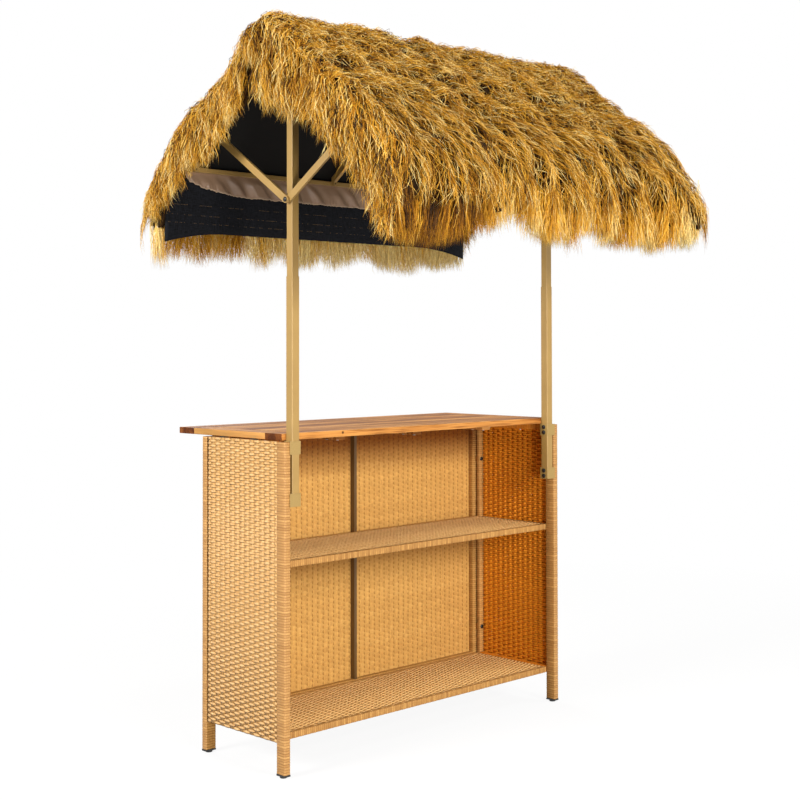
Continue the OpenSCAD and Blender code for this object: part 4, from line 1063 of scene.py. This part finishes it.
def lay(row, sy, count, start, length, lift, lock, scatter, seed, chaos=0.0, fade=True,
        hold=(0.1, 0.7)):
    """Paths (n, 5, 3) of strands on a row, on the slope sy; they are fewer where tufts are low.

    On the eave row narrow gaps run down the slope as well. A strand starts at a random distance in
    start, 12 mm under the face, and rises to lift above it. Its angle to the slope is random,
    changes along the strand, so it curls, and turns outwards near the gables. Its tip is pulled
    towards its lock, and past the end of the row it sinks to the row below when fade is set. No
    point lies lower than 3 mm over the cloth or further out than FAR_Y.
    """
    r = np.random.default_rng(seed)
    line, first = ROWS[row], STARTS[row]
    x, q = r.uniform(-0.75, 0.75, count), r.uniform(*start, count)
    gaps = ripple(x + 1.7 * sy, 0.25 * q, 0.045, seed + 6) if row == "eave" else 0.0
    share = np.clip(1.25 + 100 * tufts(x, q + first, sy, 0) + 0.55 * gaps, 0.14, 1)
    keep = r.uniform(size=count) < share
    x, q = x[keep], q[keep]
    n = len(x)
    long = r.uniform(*length, n)[:, None]
    t = np.linspace(0, 1, 5)
    centre = lock_centre(x, q, lock, 0.16, seed + 1)
    pull = (centre - x)[:, None] * t ** 1.3 * r.uniform(*hold, (n, 1))
    fan = np.sign(x) * ramp(np.abs(x), 0.58, 0.14) ** 1.5 * 0.6
    wild = scatter + chaos * np.clip(1 - q / 0.12, 0, 1)
    angle = wild * (r.normal(size=n) + 0.7 * ripple(x, q + first, 0.2, seed + 2)) + fan
    angle = angle[:, None] + r.normal(0, 1.6 * scatter, (n, 1)) * (t - 0.3)
    across = x[:, None] + pull + long * t * np.sin(angle)
    down = q[:, None] + long * t * np.abs(np.cos(angle))
    rise = -0.012 + (0.012 + lift * r.uniform(0.2, 1.6, (n, 1))) * t ** 0.7
    rise = rise + tufts(across, down + first, sy)
    if fade:
        past = np.maximum(down - row_length(line), 0)
        rise = rise - 0.035 * (1 - np.exp(-past / 0.035))
    at, normal = follow(line, down)
    yz = at + normal * rise[..., None]
    crinkle = 0.7 if row == "eave" else 1.0
    across[:, 1:] += r.normal(0, 0.0056 * crinkle, (n, 4))
    yz[:, 1:] += r.normal(0, 0.0040 * crinkle, (n, 4, 2))
    y = np.minimum(yz[..., 0], FAR_Y)
    z = np.where(np.abs(y) < CLEAR_Y, np.maximum(yz[..., 1], grass_z(y) + 0.003), yz[..., 1])
    side, z = over_edge(across, z)
    return gather(side, y * sy, z), centre, q


def grass_row(name, laid, seed, *replaced, low=0.25, high=0.90, widths=(1.2 * MM, 2.3 * MM)):
    """One object of laid strands, which stands for the replaced nodes.

    Each has a random number between low and high, with lighter and darker locks; one strand in
    four is painted darker, as painted shade between strands, and one in fourteen paler, as painted
    highlight.
    """
    path, centre, q = laid
    n = len(path)
    r = np.random.default_rng(seed)
    kind = r.uniform(size=n)
    # Painted shade and highlight: a quarter of the strands darker, one in fourteen paler.
    number = (r.uniform(low, high, n) + 0.20 * ripple(centre, q, 0.07, seed + 4)
              + np.where(kind > 0.93, 0.35, 0.0) - np.where(kind < 0.27, 0.37, 0.0))
    number = np.clip(number, 0.02, 0.98)
    width = np.random.default_rng(seed).uniform(*widths, n) * np.where(number < 0.15, 1.5, 1.0)
    grass(name, path, width, number, *replaced)


# %% Undercoat of every row
def stands_for(row, word):
    """The CAD node that a row's grass takes the place of."""
    return "thatch_ridge_cap" if row == "ridge" else f"thatch_{row}_{word}"


def undercoat_row(row, sy, word, inset, part=1.0, ragged=0.0, floor=0.0):
    """A closed, lumpy body inside a row: its outer face lies inset metres inside the row's tufts.

    It covers a part of the row's length, ragged times a ripple more or less. What the gable's edge
    would carry below the height floor is squeezed to a tenth, so no corner hangs out of the grass.
    """
    x = np.linspace(-0.775, 0.775, 111)[None, :]
    reach = row_length(ROWS[row]) * (part + ragged * ripple(x, 0 * x, 0.045, 78))
    d = np.linspace(0, 1, 21)[:, None] * reach
    at, normal = follow(ROWS[row], d)
    lumps = tufts(x, d + STARTS[row], sy) - inset + 0.002 * ripple(x + 0 * d, d, 0.04, 77)
    y = at[..., 0] + normal[..., 0] * lumps
    z = at[..., 1] + normal[..., 1] * lumps
    z = np.where(y < 0.512, np.maximum(z, grass_z(np.minimum(y, 0.507)) + 0.004), z)
    side, z = over_edge(x, z, EDGE_R - inset)
    z = np.where(z < floor, floor + 0.1 * (z - floor), z)
    y_in = np.minimum(y, 0.5068)
    z_in = np.minimum(grass_z(y_in), z - 0.001)
    front, back = gather(side, y * sy, z), gather(np.clip(x, -0.711, 0.711), y_in * sy, z_in)
    obj = shell(f"{row}_undercoat_{word}", front[:, ::-sy], back[:, ::-sy], gather(x, d))
    place(obj, undercoat_shade, "canopy", "thatch", stands_for(row, word))


for sy, word in SIDES:
    for row in ("ridge", "upper", "middle"):
        undercoat_row(row, sy, word, 0.017)
    undercoat_row("eave", sy, word, 0.021, part=0.72, ragged=0.07, floor=1.675)
print("undercoat laid")

# %% Grass on the slopes
# For each row: strands, range of starts, range of lengths, lift, lock, scatter, and what differs.
SLOPE_GRASS = {
    "ridge": (4600, (-0.02, 0.19), (0.045, 0.085), 0.004, 0.035, 0.50, {"chaos": 0.2}),
    "upper": (3000, (-0.045, 0.085), (0.045, 0.085), 0.007, 0.035, 0.45, {}),
    "middle": (3800, (-0.045, 0.125), (0.050, 0.090), 0.008, 0.040, 0.38, {}),
    "eave": (8600, (-0.05, 0.33), (0.060, 0.120), 0.009, 0.042, 0.17,
             {"fade": False, "hold": (0.45, 0.98)}),
}
for (sy, word), first_seed in zip(SIDES, (101, 201)):
    for seed, (row, (*numbers, more)) in enumerate(SLOPE_GRASS.items(), first_seed):
        laid = lay(row, sy, *numbers, seed, **more)
        grass_row(f"{row}_grass_{word}", laid, seed, stands_for(row, word))


# %% Fringe
# The fringe's tips as (x, z), listed in millimetres and kept in metres.
SERVER_TIPS = np.array([
    (-800, 1570), (-560, 1560), (-457, 1574), (-400, 1606), (-330, 1617), (-277, 1629),
    (-240, 1656), (-170, 1650), (-140, 1619), (-57, 1590), (0, 1592), (30, 1576), (60, 1605),
    (120, 1620), (165, 1640), (212, 1590), (260, 1613), (320, 1594), (371, 1588), (420, 1605),
    (500, 1594), (574, 1604), (610, 1622), (645, 1607), (720, 1640)]).T / 1000
CUSTOMER_TIPS = np.array([
    (-753, 1568), (-700, 1548), (-628, 1579), (-596, 1558), (-563, 1575), (-530, 1560),
    (-497, 1588), (-464, 1569), (-430, 1577), (-396, 1562), (-345, 1576), (-291, 1552),
    (-220, 1586), (-184, 1600), (-130, 1565), (-73, 1549), (0, 1584), (81, 1562), (201, 1606),
    (260, 1570), (367, 1575), (410, 1546), (475, 1590), (600, 1576), (722, 1592)]).T / 1000


def fringe(sy, tips, count, seed):
    """Hanging strands whose tips end near the line tips (x, z), 80 to 160 mm below their roots."""
    r = np.random.default_rng(seed)
    x = r.uniform(-0.724, 0.724, count)
    centre = lock_centre(x, 0 * x, 0.028, 0.12, seed + 1)
    end = np.interp(x, *tips) - 0.012 + 0.010 * ripple(centre, 0 * x, 0.03, seed + 2)
    end = end + r.exponential(0.018, count)
    long = r.uniform(0.08, 0.16, count)[:, None]
    t = np.linspace(0, 1, 5)
    depth = r.uniform(0, 1, count)[:, None]
    y = (0.572 - depth * 0.055 + 0.004 * ripple(centre, 0 * x, 0.07, seed + 3)[:, None]
         - 0.012 * t * depth + 0.6 * tufts(x, 0 * x + 0.75, sy)[:, None] * (1 - t))
    pull = (centre - x)[:, None] * t ** 1.2 * r.uniform(0.4, 1.0, (count, 1))
    inward = ramp(np.abs(x), 0.66, 0.06) * np.sign(x) * 0.10
    sway = 0.16 * ripple(x, 0 * x, 0.2, seed + 4) + r.normal(0, 0.13, count) - inward
    across = x[:, None] + pull + sway[:, None] * long * t
    path = gather(across, sy * y, end[:, None] + long - long * t)
    path[:, 1:] += r.normal(0, 0.0035, (count, 4, 3)) * np.array([1.0, 0.7, 0.5])
    path[..., 0] = np.clip(path[..., 0], -0.716, 0.716)
    path[..., 1] = sy * np.maximum(np.abs(path[..., 1]), CLEAR_Y)
    return path, centre, x * 0


# The customer's fringe gets paler numbers: painted light for light shining through it from behind.
FRINGES = ((SERVER_TIPS, 300, 0.45), (CUSTOMER_TIPS, 400, 0.80))
for (sy, word), (tips, seed, low) in zip(SIDES, FRINGES):
    grass_row(f"fringe_grass_{word}", fringe(sy, tips, 5200, seed), seed, f"thatch_eave_{word}",
              low=low, high=low + 0.4, widths=(1.4 * MM, 2.4 * MM))

# %% [markdown]
# ## Hanging grass at the gables
# At each end of the roof the rows are left long and fall over the edge, so a ragged curtain hangs
# from the slanting edge, about 200 mm deep. Behind it lies a thin mat with a ragged lower edge,
# coloured dark as painted shade behind the curtain. Strands start on the round edge or lower on the
# mat, follow its bend and then hang straight down in locks. Their tips end near a line that gives
# the curtain's lower edge.

# %% Gable grass
# The curtains' tips as (y, z), listed in millimetres and kept in metres.
LEFT_TIPS = np.array([
    (-560, 1560), (-500, 1590), (-461, 1684), (-402, 1766), (-340, 1791), (-299, 1831),
    (-248, 1899), (-126, 1941), (-50, 1975), (0, 2010), (12, 2040), (30, 2120), (64, 2110),
    (74, 2000), (90, 1960), (112, 1945), (157, 1935), (180, 1885), (240, 1845), (337, 1825),
    (420, 1775), (474, 1725), (510, 1700), (560, 1690)]).T / 1000
RIGHT_TIPS = np.array([
    (-560, 1640), (-480, 1690), (-400, 1750), (-320, 1800), (-220, 1890), (-120, 1950), (0, 2020),
    (110, 1960), (210, 1900), (310, 1810), (390, 1770), (480, 1690), (560, 1630)]).T / 1000
MAT_IN, MAT_OUT = 0.7100, 0.7165
half_line = np.concatenate(list(ROWS.values())).T


def outer_z(y, sx):
    """Height of the roof's outer face at the gable sx, above the distance y from the ridge."""
    s = np.abs(y) * 1.257
    shape = np.where(y < 0, swelling(sx * 0.7, s, -1), swelling(sx * 0.7, s, 1))
    return np.interp(np.abs(y), *half_line) + 1.25 * shape


def curtain(sx, tips, count, seed):
    """Strands that hang on a gable: half end near the line tips (y, z), the others above it.

    They are fewer where a ripple 50 mm long is low, so the dark mat shows there in small gaps. At
    a depth d below the roof's outer face a strand lies sqrt(R^2 - (R - d)^2) outside the edge, R
    at most.
    """
    r = np.random.default_rng(seed)
    y = r.uniform(-0.565, 0.565, count)
    centre = lock_centre(y, 0 * y, 0.030, 0.12, seed + 1)
    end = np.interp(y, *tips) - 0.012 + 0.020 * ripple(centre, 0 * y, 0.06, seed + 2)
    end = end + r.exponential(0.020, count)
    room = np.maximum(outer_z(y, sx) + 0.004 - end, 0.03)
    long = np.minimum(r.uniform(0.06, 0.12, count), room)
    above = np.where(r.uniform(size=count) < 0.5, 0.0, r.uniform(0, 1, count))
    root = end + long + (room - long) * above
    off = r.uniform(-0.002, 0.014, count) + 0.006 * ripple(centre, root * 0.4, 0.08, seed + 3)
    share = np.clip(0.75 + 1.1 * ripple(y, root * 0.6, 0.05, seed + 5), 0.12, 1)
    keep = r.uniform(size=count) < share
    t, long = np.linspace(0, 1, 5), long[:, None]
    z = root[:, None] - long * t
    depth = np.clip(outer_z(y, sx)[:, None] - z, 0, EDGE_R)
    bend = np.sqrt(EDGE_R ** 2 - (EDGE_R - depth) ** 2)
    x = 0.683 + bend + off[:, None] * np.minimum(t * 3, 1)
    slide = np.sign(y)[:, None] * 0.10 * long * t * (1 - 0.5 * t) * (np.abs(y) < 0.5)[:, None]
    pull = (centre - y)[:, None] * t ** 1.2 * r.uniform(0.4, 1.0, (count, 1))
    sway = 0.16 * ripple(y, root, 0.2, seed + 4) + r.normal(0, 0.22, count)
    across = np.clip(y[:, None] + slide + pull + sway[:, None] * long * t, -0.578, 0.578)
    path = gather(sx * x, across, z)
    path[:, 1:] += r.normal(0, 0.0064, (count, 4, 3)) * np.array([0.7, 1.0, 0.8])
    return path[keep], centre[keep], root[keep]


def gable_mat(name, sx, tips):
    """Closed mat 6 mm thick behind the curtain, coloured dark as painted shade, from 38 mm under the
    roof's outer face down.

    Its ragged lower edge is about 45 mm above the tips, and at the left end's customer corner 75 mm
    lower than that.
    """
    y = np.linspace(-0.555, 0.555, 161)
    high = outer_z(y, sx) - 0.038
    low = np.interp(y, *tips) + 0.045 + 0.016 * ripple(y, 0 * y, 0.035, 55)
    low = np.minimum(low, high - 0.01) - 0.075 * (sx < 0) * ramp(y, 0.49, 0.02)
    z = high + (low - high) * np.linspace(0, 1, 9)[:, None]
    bulge = 0.0025 * ripple(y, z * 0.5, 0.04, 57)
    front, back = gather(sx * (MAT_OUT + bulge), y, z), gather(sx * MAT_IN, y, z)
    obj = shell(name, front[:, ::sx], back[:, ::sx], gather(y, z))
    place(obj, undercoat_shade, "canopy", "thatch", "gable_fringes")


for (sx, word), tips, seed in zip(ENDS, (LEFT_TIPS, RIGHT_TIPS), (500, 600)):
    gable_mat(f"gable_undercoat_{word}", sx, tips)
    grass_row(f"gable_grass_{word}", curtain(sx, tips, 8600, seed), seed, "gable_fringes", low=0.28)
